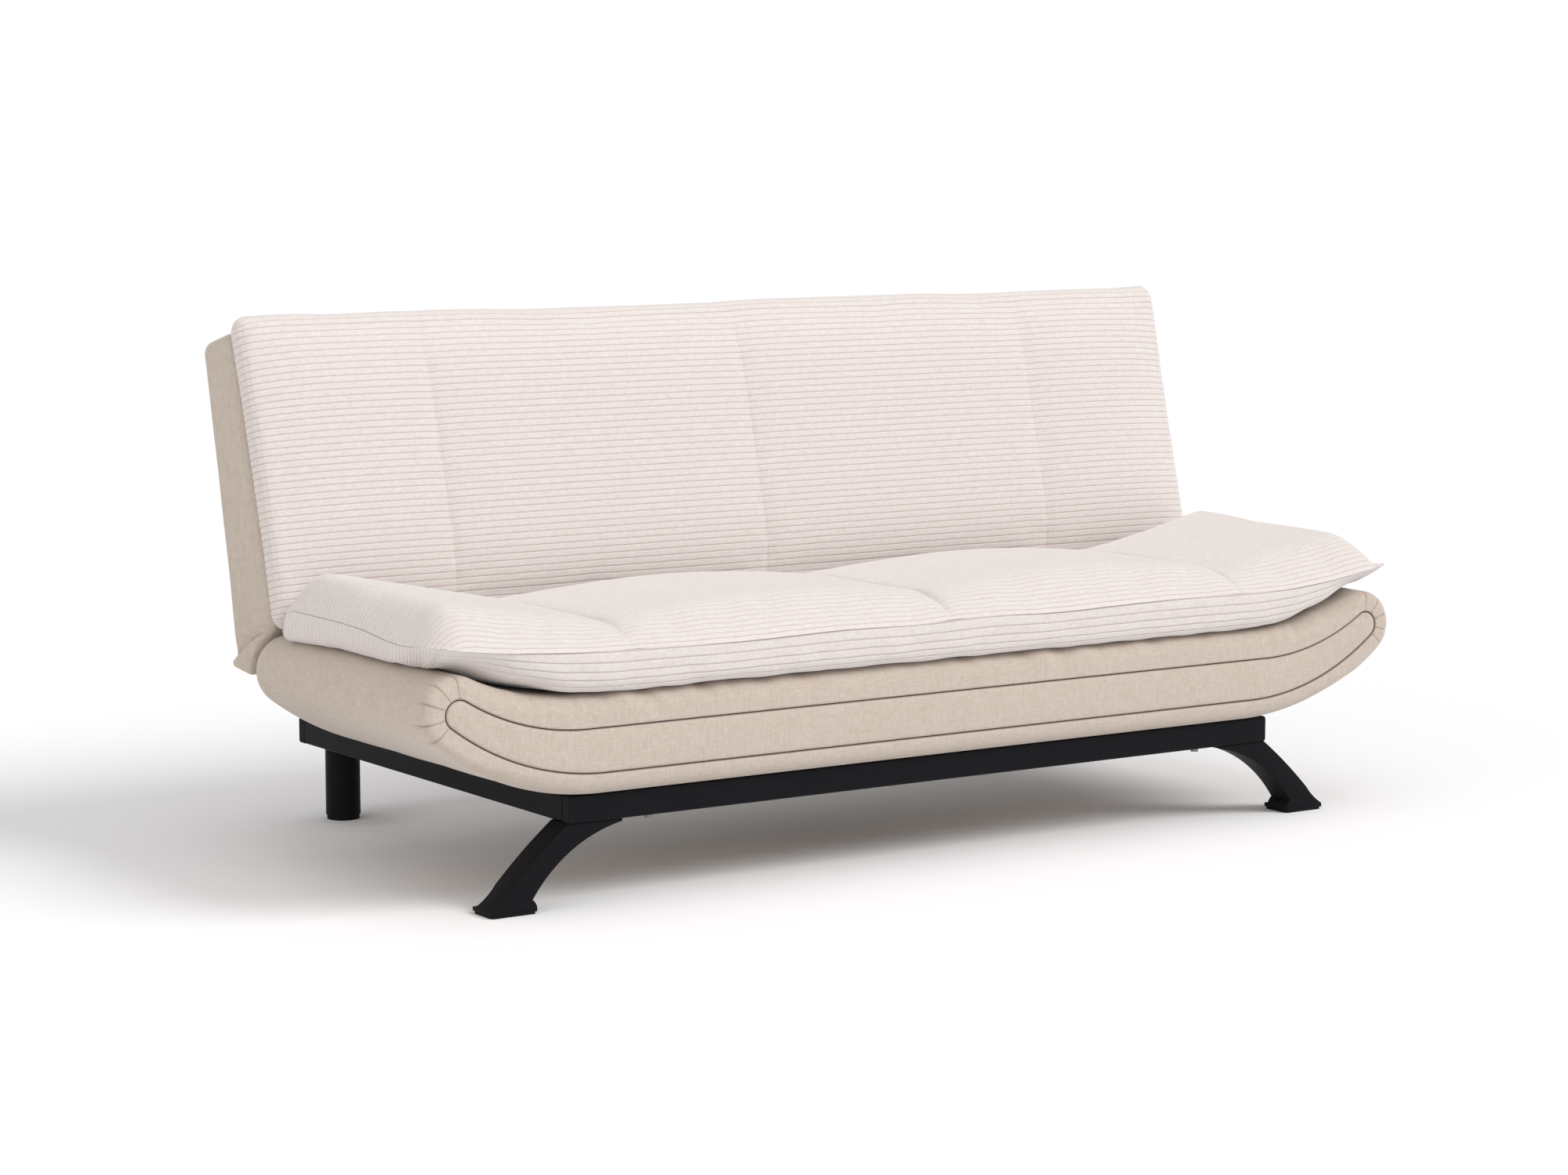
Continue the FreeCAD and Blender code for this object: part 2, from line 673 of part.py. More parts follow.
# Back frame
stile_x = back_plate_x + plate_thickness
beam_v = pocket_front + slat_thickness
stile = back_box(stile_x, stile_x + stile_width, pocket_low, pocket_high, pocket_front,
                 pocket_front + stile_depth)
for name, u0 in (("back_bottom_beam", pocket_low), ("back_top_beam", pocket_high - back_beam_height)):
    beam = back_box(-stile_x, stile_x, u0, u0 + back_beam_height, beam_v, pocket_front + stile_depth)
    if u0 == pocket_low:
        notch = back_box(hinge_x - slot_width / 2, stile_x, u0 - 1, u0 + back_beam_height + 1, -arm_half - 2,
                         pocket_front + stile_depth + 1)
        beam = beam.cut([notch, mirrored(notch)])
    parts[name] = beam
slat_reach = hinge_x - slot_width - back_slat_width / 2
back_slats = []
for i in range(back_slat_count):
    x = -slat_reach + 2 * slat_reach * i / (back_slat_count - 1)
    back_slats.append(back_box(x - back_slat_width / 2, x + back_slat_width / 2, pocket_low, pocket_high,
                               pocket_front, beam_v))
parts["back_slats"] = group(back_slats)

# Hinge: toothed plate on the back
back_plate = back_box(back_plate_x, back_plate_x + plate_thickness, 0, back_arm, -arm_half, arm_half)
back_plate = back_plate.fuse(round_x(back_plate_x, back_plate_x + plate_thickness, hinge_y, hinge_z, hinge_disc))
teeth = []
for i in range(tooth_count):
    turn = math.pi - (i - 2) * -tooth_pitch
    root = [(turn - tooth_pitch * 0.5, hinge_disc - 1), (turn + tooth_pitch * 0.5, hinge_disc - 1),
            (turn + tooth_pitch * 0.45, tooth_radius)]
    teeth.append(in_side_view(back_plate_x, [(hinge_y + r * math.cos(a), hinge_z + r * math.sin(a))
                                             for a, r in root]))
back_plate = back_plate.fuse(teeth).removeSplitter()
back_plate = back_plate.cut(round_x(back_plate_x - 1, back_plate_x + plate_thickness + 1, hinge_y, hinge_z,
                                    pin_radius + running_fit))
back_hinge_bolts = []
for i in range(3):
    u = back_arm - arm_half - i * hinge_bolt_step
    spot = back_point(0, u, 0)
    head = round_x(back_plate_x - bolt_head_height, back_plate_x, spot.y, spot.z, bolt_head_radius)
    shank = round_x(back_plate_x, stile_x + hinge_bolt_grip, spot.y, spot.z, bolt_radius)
    back_hinge_bolts.append(head.fuse(shank).removeSplitter())
    back_plate = back_plate.cut(round_x(back_plate_x - 1, stile_x + 1, spot.y, spot.z,
                                        bolt_radius + bolt_clearance))
    stile = stile.cut(round_x(stile_x - 1, stile_x + hinge_bolt_grip + 1, spot.y, spot.z,
                              bolt_radius + bolt_fit))
both_sides("back_stile", stile)
both_sides("hinge_back_plate", back_plate)
parts["back_hinge_bolts"] = group(back_hinge_bolts + [mirrored(bolt) for bolt in back_hinge_bolts])


# Soft pieces: sections across the sofa, lofted from end to end
def puff(x, low, high):
    """Fullness at x: low on the three sewn channels, high half-way between two of them."""
    near = min(abs(x), abs(abs(x) - channel_x))
    span = channel_x / 2 if abs(x) < channel_x else (mattress_half_width - channel_x) / 2
    return low + (high - low) * math.sin(min(near / span, 1.0) * math.pi / 2)


def border_top_z(x):
    start = rise_centre_x(seat_top, border_rise_radius, nose_radius + border_bottom)
    out = max(abs(x) - start, 0)
    return seat_top + border_rise_radius - math.sqrt(border_rise_radius ** 2 - out ** 2)


outer_run = mattress_half_width - channel_x
half_stations = [channel_x * s for s in (0.0, 0.12, 0.5, 0.88, 1.0)]
half_stations += [channel_x + outer_run * s for s in (0.14, 0.44, 0.72, 0.89, 1.0)]
stations = [-x for x in reversed(half_stations[1:])] + half_stations


def wing_share(x):
    """0 over the flat of the seat, growing to 1 at the ends of the mattress."""
    return max((abs(x) - channel_x) / outer_run, 0.0) ** 2


def seam_z(x):
    return mattress_seam + mattress_tip_rise * wing_share(x)


def mattress_section(x):
    tip = wing_share(x)
    top = seam_z(x)
    low = border_top_z(x) - mattress_sink * (1 - tip)
    low = min(low + mattress_swell * tip, top - pillow_tip * 1.5)
    front = seat_front_y - mattress_overhang - edge_draw * tip
    lower_front = front + mattress_tuck * (1 - tip * 0.6)
    a = V(x, lower_front, low)
    b = V(x, front, top)
    c = V(x, mattress_rear_y, top)
    d = V(x, mattress_rear_y, low)
    return Part.Wire([bulged(a, b, mattress_swell, V(-1, 0, 0)), line(b, c), line(c, d), line(d, a)])


def pillow_section(x):
    tip = wing_share(x)
    crown = pillow_crown if abs(x) < channel_x else wing_crown
    height = pillow_tip + (puff(x, pillow_channel, crown) - pillow_tip) * (1 - tip ** 2)
    low = seam_z(x) + soft_gap
    drawn = edge_draw * (1 - puff(x, 0.0, 1.0)) * (1 - tip)
    front = seat_front_y - pillow_overhang + drawn - edge_draw * tip
    reach = pillow_shoulder
    a = V(x, front, low)
    b = V(x, front + reach, low + height * 0.86)
    middle = V(x, (front + pillow_rear_y) / 2, low + height)
    c = V(x, pillow_rear_y - reach, low + height * 0.86)
    d = V(x, pillow_rear_y, low)
    swell = 0.16 * height
    return Part.Wire([bulged(a, b, swell, V(-1, 0, 0)), arc(b, middle, c),
                      bulged(c, d, swell, V(-1, 0, 0)), line(d, a)])


def topper_section(x):
    end = wing_share(x * mattress_half_width / topper_half_width) ** 2
    corner = topper_corner * end
    full = puff(x * mattress_half_width / topper_half_width, 0.0, 1.0)
    edge = topper_edge + (topper_end - topper_edge) * end
    crown = topper_channel + (topper_crown - topper_channel) * full
    crown = max(crown * (1 - end) + topper_end * 1.15 * end, edge * 1.04)
    low = topper_low + topper_draw * (1 - full) + corner
    high = topper_high - topper_draw * (1 - full) - corner
    base = -back_face - soft_gap
    a = back_point(x, low, base)
    b = back_point(x, low + topper_bulge, base - edge)
    middle = back_point(x, (low + high) / 2, base - crown)
    c = back_point(x, high - topper_bulge, base - edge)
    d = back_point(x, high, base)
    lower = arc(a, back_point(x, low - topper_bulge * 0.6, base - edge * 0.55), b)
    upper = arc(c, back_point(x, high + topper_bulge * 0.6, base - edge * 0.55), d)
    return Part.Wire([lower, arc(b, middle, c), upper, line(d, a)])


mattress = Part.makeLoft([mattress_section(x) for x in stations], True, False)
under_mattress = border_outline(seat_front_y - border_bottom, soft_gap)
under_mattress = under_mattress.extrude(V(0, border_depth + 2 * border_bottom, 0))
parts["seat_mattress"] = mattress.cut(under_mattress)
parts["seat_pillow_top"] = Part.makeLoft([pillow_section(x) for x in stations], True, False)
topper_stations = [x * topper_half_width / mattress_half_width for x in stations]
parts["back_topper"] = Part.makeLoft([topper_section(x) for x in topper_stations], True, False)

fold_half_width = mattress_half_width - fold_inset
fold_floor = border_top_z(fold_half_width) + fold_lift
fold_top = mattress_seam - fold_below_seam
fold_y = mattress_rear_y + soft_gap
fold_far = fold_y + fold_span
fold_inside = fold_thickness + 2
cloth = rounded_face([
    (fold_y, fold_top, 0), (fold_y, fold_floor, fold_inside + fold_thickness),
    (fold_far, fold_floor, fold_inside + fold_thickness), (fold_far, fold_floor + fold_rise, 0),
    (fold_far - fold_thickness, fold_floor + fold_rise, 0),
    (fold_far - fold_thickness, fold_floor + fold_thickness, fold_inside),
    (fold_y + fold_thickness, fold_floor + fold_thickness, fold_inside),
    (fold_y + fold_thickness, fold_top, 0)], lambda y, z: V(-fold_half_width, y, z))
parts["mattress_fold"] = cloth.extrude(V(2 * fold_half_width, 0, 0))

os.makedirs("parts", exist_ok=True)
for node, shape in parts.items():
    shape.exportStep("parts/" + node + ".step")
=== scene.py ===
import math

import bpy
import numpy as np
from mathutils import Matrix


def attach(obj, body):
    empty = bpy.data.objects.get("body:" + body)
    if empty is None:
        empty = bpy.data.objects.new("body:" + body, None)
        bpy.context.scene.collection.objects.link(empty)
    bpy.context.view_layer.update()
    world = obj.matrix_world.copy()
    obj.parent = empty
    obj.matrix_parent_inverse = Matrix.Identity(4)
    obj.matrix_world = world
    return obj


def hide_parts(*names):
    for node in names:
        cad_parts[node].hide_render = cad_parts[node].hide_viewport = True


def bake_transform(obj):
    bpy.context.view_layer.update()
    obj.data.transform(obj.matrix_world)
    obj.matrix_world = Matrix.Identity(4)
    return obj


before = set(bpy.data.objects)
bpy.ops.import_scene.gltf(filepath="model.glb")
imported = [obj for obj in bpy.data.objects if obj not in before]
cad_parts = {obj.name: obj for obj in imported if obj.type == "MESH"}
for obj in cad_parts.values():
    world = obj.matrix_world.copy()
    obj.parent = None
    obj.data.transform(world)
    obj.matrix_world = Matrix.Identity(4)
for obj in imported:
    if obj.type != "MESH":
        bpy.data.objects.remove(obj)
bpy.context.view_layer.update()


# Base frame: two long rails, two side rails and two inner rails of rectangular steel tube, welded
# and powder coated satin black. Moulded plugs close the open tube ends of the long rails.
def linear(code):
    """Linear RGBA of an sRGB hex colour."""
    shares = [int(code[i:i + 2], 16) / 255 for i in (1, 3, 5)]
    return [s / 12.92 if s <= 0.04045 else ((s + 0.055) / 1.055) ** 2.4 for s in shares] + [1.0]


def add(tree, kind, values=None, links=None, **settings):
    """One node with its settings, its fixed input values and its links from (node, output)."""
    node = tree.nodes.new(kind)
    for key, value in settings.items():
        setattr(node, key, value)
    for key, value in (values or {}).items():
        node.inputs[key].default_value = value
    for key, (source, output) in (links or {}).items():
        tree.links.new(source.outputs[output], node.inputs[key])
    return node


def new_finish(name, **values):
    """Material with one Principled shader, whose fixed values are set on its own sockets."""
    finish = bpy.data.materials.new(name)
    finish.use_nodes = True
    shader = finish.node_tree.nodes["Principled BSDF"]
    for key, value in values.items():
        shader.inputs[key.replace("_", " ")].default_value = value
    return finish, finish.node_tree, shader


def lead(tree, shader, tone, gloss=None, relief=None):
    """Leads a mix of colours and, where given, a roughness and a bump into the shader."""
    for node, output, socket in ((tone, 2, "Base Color"), (gloss, 0, "Roughness"), (relief, 0, "Normal")):
        if node:
            tree.links.new(node.outputs[output], shader.inputs[socket])


# Powder coat on steel: thick satin skin, faint orange peel about 2.5 mm wide, a cold black.
powder_coat, tree, shader = new_finish("powder_coat_on_steel", Specular_IOR_Level=0.07)
place = add(tree, "ShaderNodeTexCoord")
peel = add(tree, "ShaderNodeTexNoise", {"Scale": 1 / 0.0025, "Detail": 2.0}, {"Vector": (place, "Object")})
clouds = add(tree, "ShaderNodeTexNoise", {"Scale": 1 / 0.12, "Detail": 3.0}, {"Vector": (place, "Object")})
tone = add(tree, "ShaderNodeMix", {6: linear("#131316"), 7: linear("#18181C")}, {0: (clouds, 0)},
           data_type="RGBA")
gloss = add(tree, "ShaderNodeMapRange", {"To Min": 0.42, "To Max": 0.56}, {"Value": (clouds, 0)})
dimple = add(tree, "ShaderNodeBump", {"Strength": 0.12, "Distance": 0.0004}, {"Height": (peel, 0)})
lead(tree, shader, tone, gloss, dimple)

# Polyamide: moulded, matt, with a fine spark-eroded grain about 1 mm wide.
black_plastic, tree, shader = new_finish("moulded_polyamide", IOR=1.53, Specular_IOR_Level=0.1)
place = add(tree, "ShaderNodeTexCoord")
grain = add(tree, "ShaderNodeTexNoise", {"Scale": 1 / 0.001, "Detail": 2.0}, {"Vector": (place, "Object")})
tone = add(tree, "ShaderNodeMix", {6: linear("#131314"), 7: linear("#1A1A1B")}, {0: (grain, 0)},
           data_type="RGBA")
matt = add(tree, "ShaderNodeMapRange", {"To Min": 0.55, "To Max": 0.7}, {"Value": (grain, 0)})
pits = add(tree, "ShaderNodeBump", {"Strength": 0.2, "Distance": 0.0002}, {"Height": (grain, 0)})
lead(tree, shader, tone, matt, pits)


def finish_nodes(finish, *names):
    """Gives CAD nodes that keep their own shape a finish."""
    for name in names:
        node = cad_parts[name]
        node.data.materials.clear()
        node.data.materials.append(finish)


finish_nodes(powder_coat, "base_front_rail", "base_rear_rail", "base_cross_rail", "base_centre_rail",
             "left_base_side_rail", "right_base_side_rail", "corner_plates")
finish_nodes(black_plastic, "rail_end_caps")


# Front legs: cast legs that curve out and down to a flat foot, powder coated like the frame, each
# bolted up through a corner plate. The coat rounds every edge, so the edges are bevelled here.
def placed(name, data):
    """New object of the scene."""
    thing = bpy.data.objects.new(name, data)
    bpy.context.scene.collection.objects.link(thing)
    return thing


def applied(piece):
    """Makes the mesh that the piece's modifiers give its own, and returns it."""
    plain = piece.data
    shape = bpy.data.meshes.new_from_object(piece.evaluated_get(bpy.context.evaluated_depsgraph_get()))
    piece.modifiers.clear()
    piece.data = shape
    shape.name = piece.name
    bpy.data.meshes.remove(plain)
    return shape


def bevelled(name, body, finish, width):
    """Copy of a CAD node with rounded edges, width in mm, that stands for the node."""
    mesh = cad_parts[name].data.copy()
    mesh.name = name + "_rounded"
    piece = placed(name + "_rounded", mesh)
    weld = piece.modifiers.new("weld", "WELD")
    weld.merge_threshold = 0.00002
    flat = piece.modifiers.new("flat", "DECIMATE")
    flat.decimate_type = "DISSOLVE"
    flat.angle_limit = math.radians(0.5)
    edge = piece.modifiers.new("edge", "BEVEL")
    edge.width = width / 1000
    edge.segments = 3
    edge.limit_method = "ANGLE"
    edge.angle_limit = math.radians(32)
    shape = applied(piece)
    shape.materials.clear()
    shape.materials.append(finish)
    shape.polygons.foreach_set("use_smooth", [True] * len(shape.polygons))
    shape.set_sharp_from_angle(angle=math.radians(28))
    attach(piece, body)
    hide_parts(name)
    return piece


for side in ("left", "right"):
    leg = bevelled(side + "_front_leg", "base", powder_coat, 0.9)
finish_nodes(black_plastic, "left_front_pad", "right_front_pad")

# Rear legs: round steel tube with a welded top, powder coated like the frame. Moulded plastic glides
# are plugged into their lower ends and stand on the floor.
finish_nodes(powder_coat, "left_rear_leg", "right_rear_leg")
finish_nodes(black_plastic, "left_rear_glide", "right_rear_glide")

# Bolts of the legs, the seat and the hinges: zinc-plated steel with flat round heads.
# Zinc plate: grey with a faint yellow cast in patches about 6 mm wide, dull where it was handled.
zinc, tree, shader = new_finish("zinc_plated_steel", Metallic=1.0)
place = add(tree, "ShaderNodeTexCoord")
bloom = add(tree, "ShaderNodeTexNoise", {"Scale": 1 / 0.006, "Detail": 4.0}, {"Vector": (place, "Object")})
tone = add(tree, "ShaderNodeMix", {6: linear("#7C7D7C"), 7: linear("#8A877D")}, {0: (bloom, 0)},
           data_type="RGBA")
dull = add(tree, "ShaderNodeMapRange", {"To Min": 0.28, "To Max": 0.46}, {"Value": (bloom, 0)})
lead(tree, shader, tone, dull)
finish_nodes(zinc, "leg_bolts", "seat_bolts", "seat_hinge_bolts", "back_hinge_bolts")

# Seat frame: planed pine beams and slats with birch plywood formers in the wings, screwed and glued.
# It lies inside the upholstery, and the same finishes serve the frame of the back.
# Pine: pale, with growth rings about 5 mm apart running along each beam.
pine, tree, shader = new_finish("planed_pine", Roughness=0.55)
place = add(tree, "ShaderNodeTexCoord")
along = add(tree, "ShaderNodeMapping", {"Scale": (6.0, 40.0, 40.0)}, {"Vector": (place, "Object")})
rings = add(tree, "ShaderNodeTexWave", {"Scale": 1 / 0.20, "Distortion": 6.0, "Detail": 3.0},
            {"Vector": (along, 0)}, bands_direction="Z")
tone = add(tree, "ShaderNodeMix", {6: linear("#D9B27C"), 7: linear("#C08F52")}, {0: (rings, 1)},
           data_type="RGBA")
lead(tree, shader, tone)

# Birch plywood: sawn edge with veneers about 1.5 mm thick, pale and dark in turn.
plywood, tree, shader = new_finish("birch_plywood", Roughness=0.6)
place = add(tree, "ShaderNodeTexCoord")
veneers = add(tree, "ShaderNodeTexWave", {"Scale": 1 / 0.020, "Distortion": 0.4},
              {"Vector": (place, "Object")}, bands_direction="Y")
tone = add(tree, "ShaderNodeMix", {6: linear("#DDBE8E"), 7: linear("#B08A58")}, {0: (veneers, 1)},
           data_type="RGBA")
lead(tree, shader, tone)
finish_nodes(pine, "seat_front_beam", "seat_rear_beam", "left_seat_side_beam", "right_seat_side_beam",
             "seat_slats", "left_wing_bearer", "right_wing_bearer")
finish_nodes(plywood, "left_wing_formers", "right_wing_formers")

# Seat border: foam over the seat frame, covered in beige weave, flat in the middle and swept up to a
# round nose at each end. It is one skin, sewn to the front facing and drawn in by darts at the noses.
# Linen-like weave: slubby threads about 0.8 mm apart, drawn at twice that so that they show.
weave, tree, shader = new_finish("linen_weave", Roughness=0.9, Sheen_Weight=0.25, Sheen_Roughness=0.5)
place = add(tree, "ShaderNodeTexCoord")
fine, long = 1 / 0.0016, 1 / 0.016
across = add(tree, "ShaderNodeMapping", {"Scale": (long, fine, fine)}, {"Vector": (place, "Object")})
upward = add(tree, "ShaderNodeMapping", {"Scale": (fine, long, long)}, {"Vector": (place, "Object")})
weft = add(tree, "ShaderNodeTexNoise", {"Scale": 1.0, "Detail": 2.0}, {"Vector": (across, 0)})
warp = add(tree, "ShaderNodeTexNoise", {"Scale": 1.0, "Detail": 2.0}, {"Vector": (upward, 0)})
slub = add(tree, "ShaderNodeTexNoise", {"Scale": 1 / 0.009, "Detail": 5.0}, {"Vector": (place, "Object")})
threads = add(tree, "ShaderNodeMath", {}, {0: (weft, 0), 1: (warp, 0)}, operation="ADD")
mixed = add(tree, "ShaderNodeMath", {1: 0.45}, {0: (slub, 0)}, operation="MULTIPLY")
mixed = add(tree, "ShaderNodeMath", {}, {0: (threads, 0), 1: (mixed, 0)}, operation="ADD")
share = add(tree, "ShaderNodeMapRange", {"From Min": 0.85, "From Max": 1.6}, {"Value": (mixed, 0)})
tone = add(tree, "ShaderNodeMix", {6: linear("#B5A698"), 7: linear("#C7BBB0")}, {0: (share, 0)},
           data_type="RGBA")
# Painted shade: where a cover's seam mark is set, the weave is darkened towards #58493B, in seam crevices and
# dart creases.
seam_shade_mark = add(tree, "ShaderNodeAttribute", attribute_name="seam")
sewn = add(tree, "ShaderNodeMix", {7: linear("#58493B")}, {0: (seam_shade_mark, "Fac"), 6: (tone, 2)},
           data_type="RGBA")
relief = add(tree, "ShaderNodeBump", {"Strength": 0.35, "Distance": 0.0006}, {"Height": (threads, 0)})
lead(tree, shader, sewn, relief=relief)


def skin(name, points, faces, finish, cloth=None, marks=None):
    """Smooth piece from points in mm; cloth gives its flat coordinates, marks its attributes."""
    mesh = bpy.data.meshes.new(name)
    mesh.from_pydata((np.asarray(points) / 1000).tolist(), [], faces)
    mesh.polygons.foreach_set("use_smooth", [True] * len(mesh.polygons))
    mesh.set_sharp_from_angle(angle=math.radians(60))
    corners = np.empty(len(mesh.loops), dtype=np.int32)
    mesh.loops.foreach_get("vertex_index", corners)
    if cloth is not None:
        layer = mesh.uv_layers.new(name="cloth")
        layer.uv.foreach_set("vector", (np.asarray(cloth) / 1000)[corners].ravel())
    for key, values in (marks or {}).items():
        mesh.attributes.new(key, "FLOAT", "POINT").data.foreach_set("value", np.asarray(values, dtype=float))
    mesh.calc_loop_triangles()
    triangles = np.empty(len(mesh.loop_triangles) * 3, dtype=np.int32)
    mesh.loop_triangles.foreach_get("vertices", triangles)
    a, b, c = np.asarray(points)[triangles.reshape(-1, 3)].transpose(1, 0, 2)
    if np.einsum("ij,ij->i", a, np.cross(b, c)).sum() < 0:
        mesh.flip_normals()
    mesh.materials.append(finish)
    return placed(name, mesh)


def rings_closed(rings):
    """Points and faces of a stack of closed rings, with a flat cap on the first and the last."""
    count = len(rings[0])
    points = np.concatenate(rings)
    faces = []
    for k in range(len(rings) - 1):
        low = k * count
        for i in range(count):
            j = (i + 1) % count
            faces.append((low + i, low + j, low + count + j, low + count + i))
    faces.append(tuple(range(count - 1, -1, -1)))
    last = (len(rings) - 1) * count
    faces.append(tuple(range(last, last + count)))
    return points, faces


flat_half = 657.0
panel_low = 217.0
panel_high = 289.0
panel_rise = 410.0
border_thick = 36.0
border_rise = 450.0
seat_bottom = 181.0
seat_top = 341.0
sweep_radius = 455.0
sweep_angle = math.radians(37.6)
nose_radius = 24.0
border_nose = nose_radius + border_thick
nose_x = flat_half + (sweep_radius - nose_radius) * math.sin(sweep_angle)
nose_z = panel_low + sweep_radius - (sweep_radius - nose_radius) * math.cos(sweep_angle)
seat_front = -470.0
border_rear = 148.0
outline_counts = (150, 34, 64, 48, 300)


def seat_outline(grow, top, rise):
    """Front view of the seat, grow mm outside the facing: bottom, right sweep, nose and rise, top, and the
    same on the left. The rise is a hollow of radius rise that ends level with top."""
    nose = nose_radius + grow
    climb = top + rise - nose_z
    rise_x = nose_x - math.sqrt((rise + nose) ** 2 - climb ** 2)
    lean = math.atan2(climb, rise_x - nose_x)
    below = sweep_angle - math.pi / 2
    flat, sweep, tip, up, over = outline_counts

    def arc(cx, cz, radius, start, stop, count):
        turn = np.linspace(start, stop, count, endpoint=False)
        return np.stack([cx + radius * np.cos(turn), cz + radius * np.sin(turn)], 1)

    right = np.concatenate([
        arc(flat_half, panel_low + sweep_radius, sweep_radius + grow, -math.pi / 2, below, sweep),
        arc(nose_x, nose_z, nose, below, lean, tip),
        arc(rise_x, top + rise, rise, lean - math.pi, -math.pi / 2, up)])
    end = np.array([[rise_x, top]])
    left = np.concatenate([right, end])[::-1] * (-1, 1)
    share = np.linspace(0, 1, flat, endpoint=False)[:, None]
    bottom = np.hstack([-flat_half + 2 * flat_half * share, np.full_like(share, panel_low - grow)])
    share = np.linspace(0, 1, over, endpoint=False)[:, None]
    roof = np.hstack([rise_x - 2 * rise_x * share, np.full_like(share, top)])
    return np.concatenate([bottom, right, roof, left[:-1]])


inner = seat_outline(0.0, panel_high, panel_rise)
outer = seat_outline(border_thick, seat_top, border_rise)
wall = np.linalg.norm(outer - inner, axis=1)
outward = (outer - inner) / wall[:, None]
seam_depth = 5.0
rim_width = 4.0
dart_width = 2.2
dart_depth = 2.2
gather_depth = 2.8
pucker_width = 6.5
pucker_depth = 3.2
ends = np.abs(outer[:, 0])
rear_round = 46.0 + 5.0 * np.clip((ends - 840) / 50, 0, 1)
front_round = 30.0 - 14.0 * np.clip((ends - 800) / 110, 0, 1) ** 2
nose_turn = np.arctan2(inner[:, 1] - nose_z, np.abs(inner[:, 0]) - nose_x)
near_nose = np.hypot(np.abs(inner[:, 0]) - nose_x, inner[:, 1] - nose_z) < nose_radius + 2
darts = np.zeros(len(outer))
for turn in (-0.75, -0.2, 0.4, 1.0, 1.6):
    darts = np.maximum(darts, np.exp(-((nose_turn - turn) * border_nose / dart_width) ** 2) * near_nose)
on_top = outer[:, 1] > seat_top - 8
gather_x = outer[:, 0] / 1000
gathers = 0.5 * np.sin(gather_x * 97 + 1.3 * np.sin(gather_x * 13)) + 0.5 * np.sin(gather_x * 61 + 2.0)
gathers *= (0.3 + 0.7 * np.sin(gather_x * 4.2 + 0.6) ** 2) * on_top * (ends < 830)
puckers = np.zeros(len(outer))
for line in (-791.0, -769.0, -716.0, -699.0, -570.0, -424.0, 701.0, 733.0, 760.0):
    puckers = np.maximum(puckers, np.exp(-((outer[:, 0] - line) / pucker_width) ** 2) * on_top)


def border_ring(depth, y):
    """Ring of the border's skin, depth mm inside its outer outline, at y."""
    flat = outer - outward * np.minimum(depth, wall)[:, None]
    return np.stack([flat[:, 0], np.broadcast_to(y, len(flat)), flat[:, 1]], 1)


rings = []
marks = []
# The seam marks of these rings are painted shade on the weave: full where the border turns in to the facing,
# fading over the rim.
for y in (seat_front + 18, seat_front + seam_depth):
    rings.append(border_ring(wall, y))
    marks.append(np.ones(len(outer)))
for rim in (0.5, 1.2, 2.4, rim_width):
    roll = rim / rim_width
    lift = seam_depth * (1 - math.sqrt(roll * (2 - roll)))
    rings.append(border_ring(wall - rim, seat_front + lift))
    marks.append(np.full(len(outer), max(0.0, 0.9 - rim / 2.5)))
start = len(rings)
for share in np.linspace(0.06, 1, 12):
    rings.append(border_ring((wall - rim_width) - (wall - rim_width - front_round) * share, seat_front))
for turn in np.linspace(0, math.pi / 2, 13)[1:]:
    depth = front_round * (1 - math.sin(turn))
    rings.append(border_ring(depth, seat_front + front_round * (1 - math.cos(turn))))
for y in np.linspace(seat_front + front_round.max(), border_rear - rear_round.max(), 50)[1:]:
    rings.append(border_ring(0.0, y))
for turn in np.linspace(0, math.pi / 2, 14)[1:]:
    depth = rear_round * (1 - math.cos(turn))
    rings.append(border_ring(depth, border_rear - rear_round * (1 - math.sin(turn))))
for ring in rings[start:]:
    away = ring[:, 1] - seat_front
    fade = np.exp(-(away / 42) ** 2)
    hollow = darts * fade * dart_depth
    crumple = gathers * np.exp(-((away - 18) / 28) ** 2) * gather_depth
    below = np.hypot(ring[:, 0] - outer[:, 0], ring[:, 2] - outer[:, 1])
    ring[:, 1] += (pucker_depth * puckers - 2.0 * gathers) * np.exp(-(below / 34) ** 2 - (away / 24) ** 2)
    sag = 0.8 * np.sin(ring[:, 0] / 83 + ring[:, 1] / 61) * np.sin(ring[:, 1] / 47 - ring[:, 0] / 131)
    sag = sag * (outer[:, 1] > seat_bottom + 2) * np.clip((60 - ring[:, 1]) / 60, 0, 1)
    move = crumple + sag - hollow
    ring[:, 0] += outward[:, 0] * move
    ring[:, 2] += outward[:, 1] * move
    # Painted shade in the dart creases at the noses, carried by the seam mark.
    marks.append(np.clip(darts * fade * 1.1 - 0.4, 0, 0.5))
points, faces = rings_closed(rings)
border = skin("seat_border_cover", points, faces, weave, marks={"seam": np.concatenate(marks)})
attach(border, "base")
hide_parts("seat_border", "seat_bolster")

# Facing: a panel of board and thin foam covered in the same weave, let into the front of the border.
# Its edge is turned in, so a seam runs all round it, dark from its crevice and from painted shade on the
# weave.
rings = []
marks = []
facing_gap = 0.6
facing_edge = ((facing_gap, 16.0), (facing_gap, 6.0), (0.9, 3.6), (1.6, 2.2), (3.0, 1.0), (5.5, 0.3),
               (9.0, -0.2), (16.0, -0.8))
for inset, y in facing_edge:
    ring = seat_outline(-inset, panel_high - inset, panel_rise + inset)
    rings.append(np.stack([ring[:, 0], np.full(len(ring), seat_front + y), ring[:, 1]], 1))
    # Painted shade along the turned-in edge: the seam mark is full at the edge and fades inwards.
    marks.append(np.full(len(ring), max(0.0, 0.95 - (inset - facing_gap) / 1.6)))
points, faces = rings_closed(rings)
facing = skin("seat_facing_panel", points, faces, weave, marks={"seam": np.concatenate(marks)})
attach(facing, "base")
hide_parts("seat_facing")

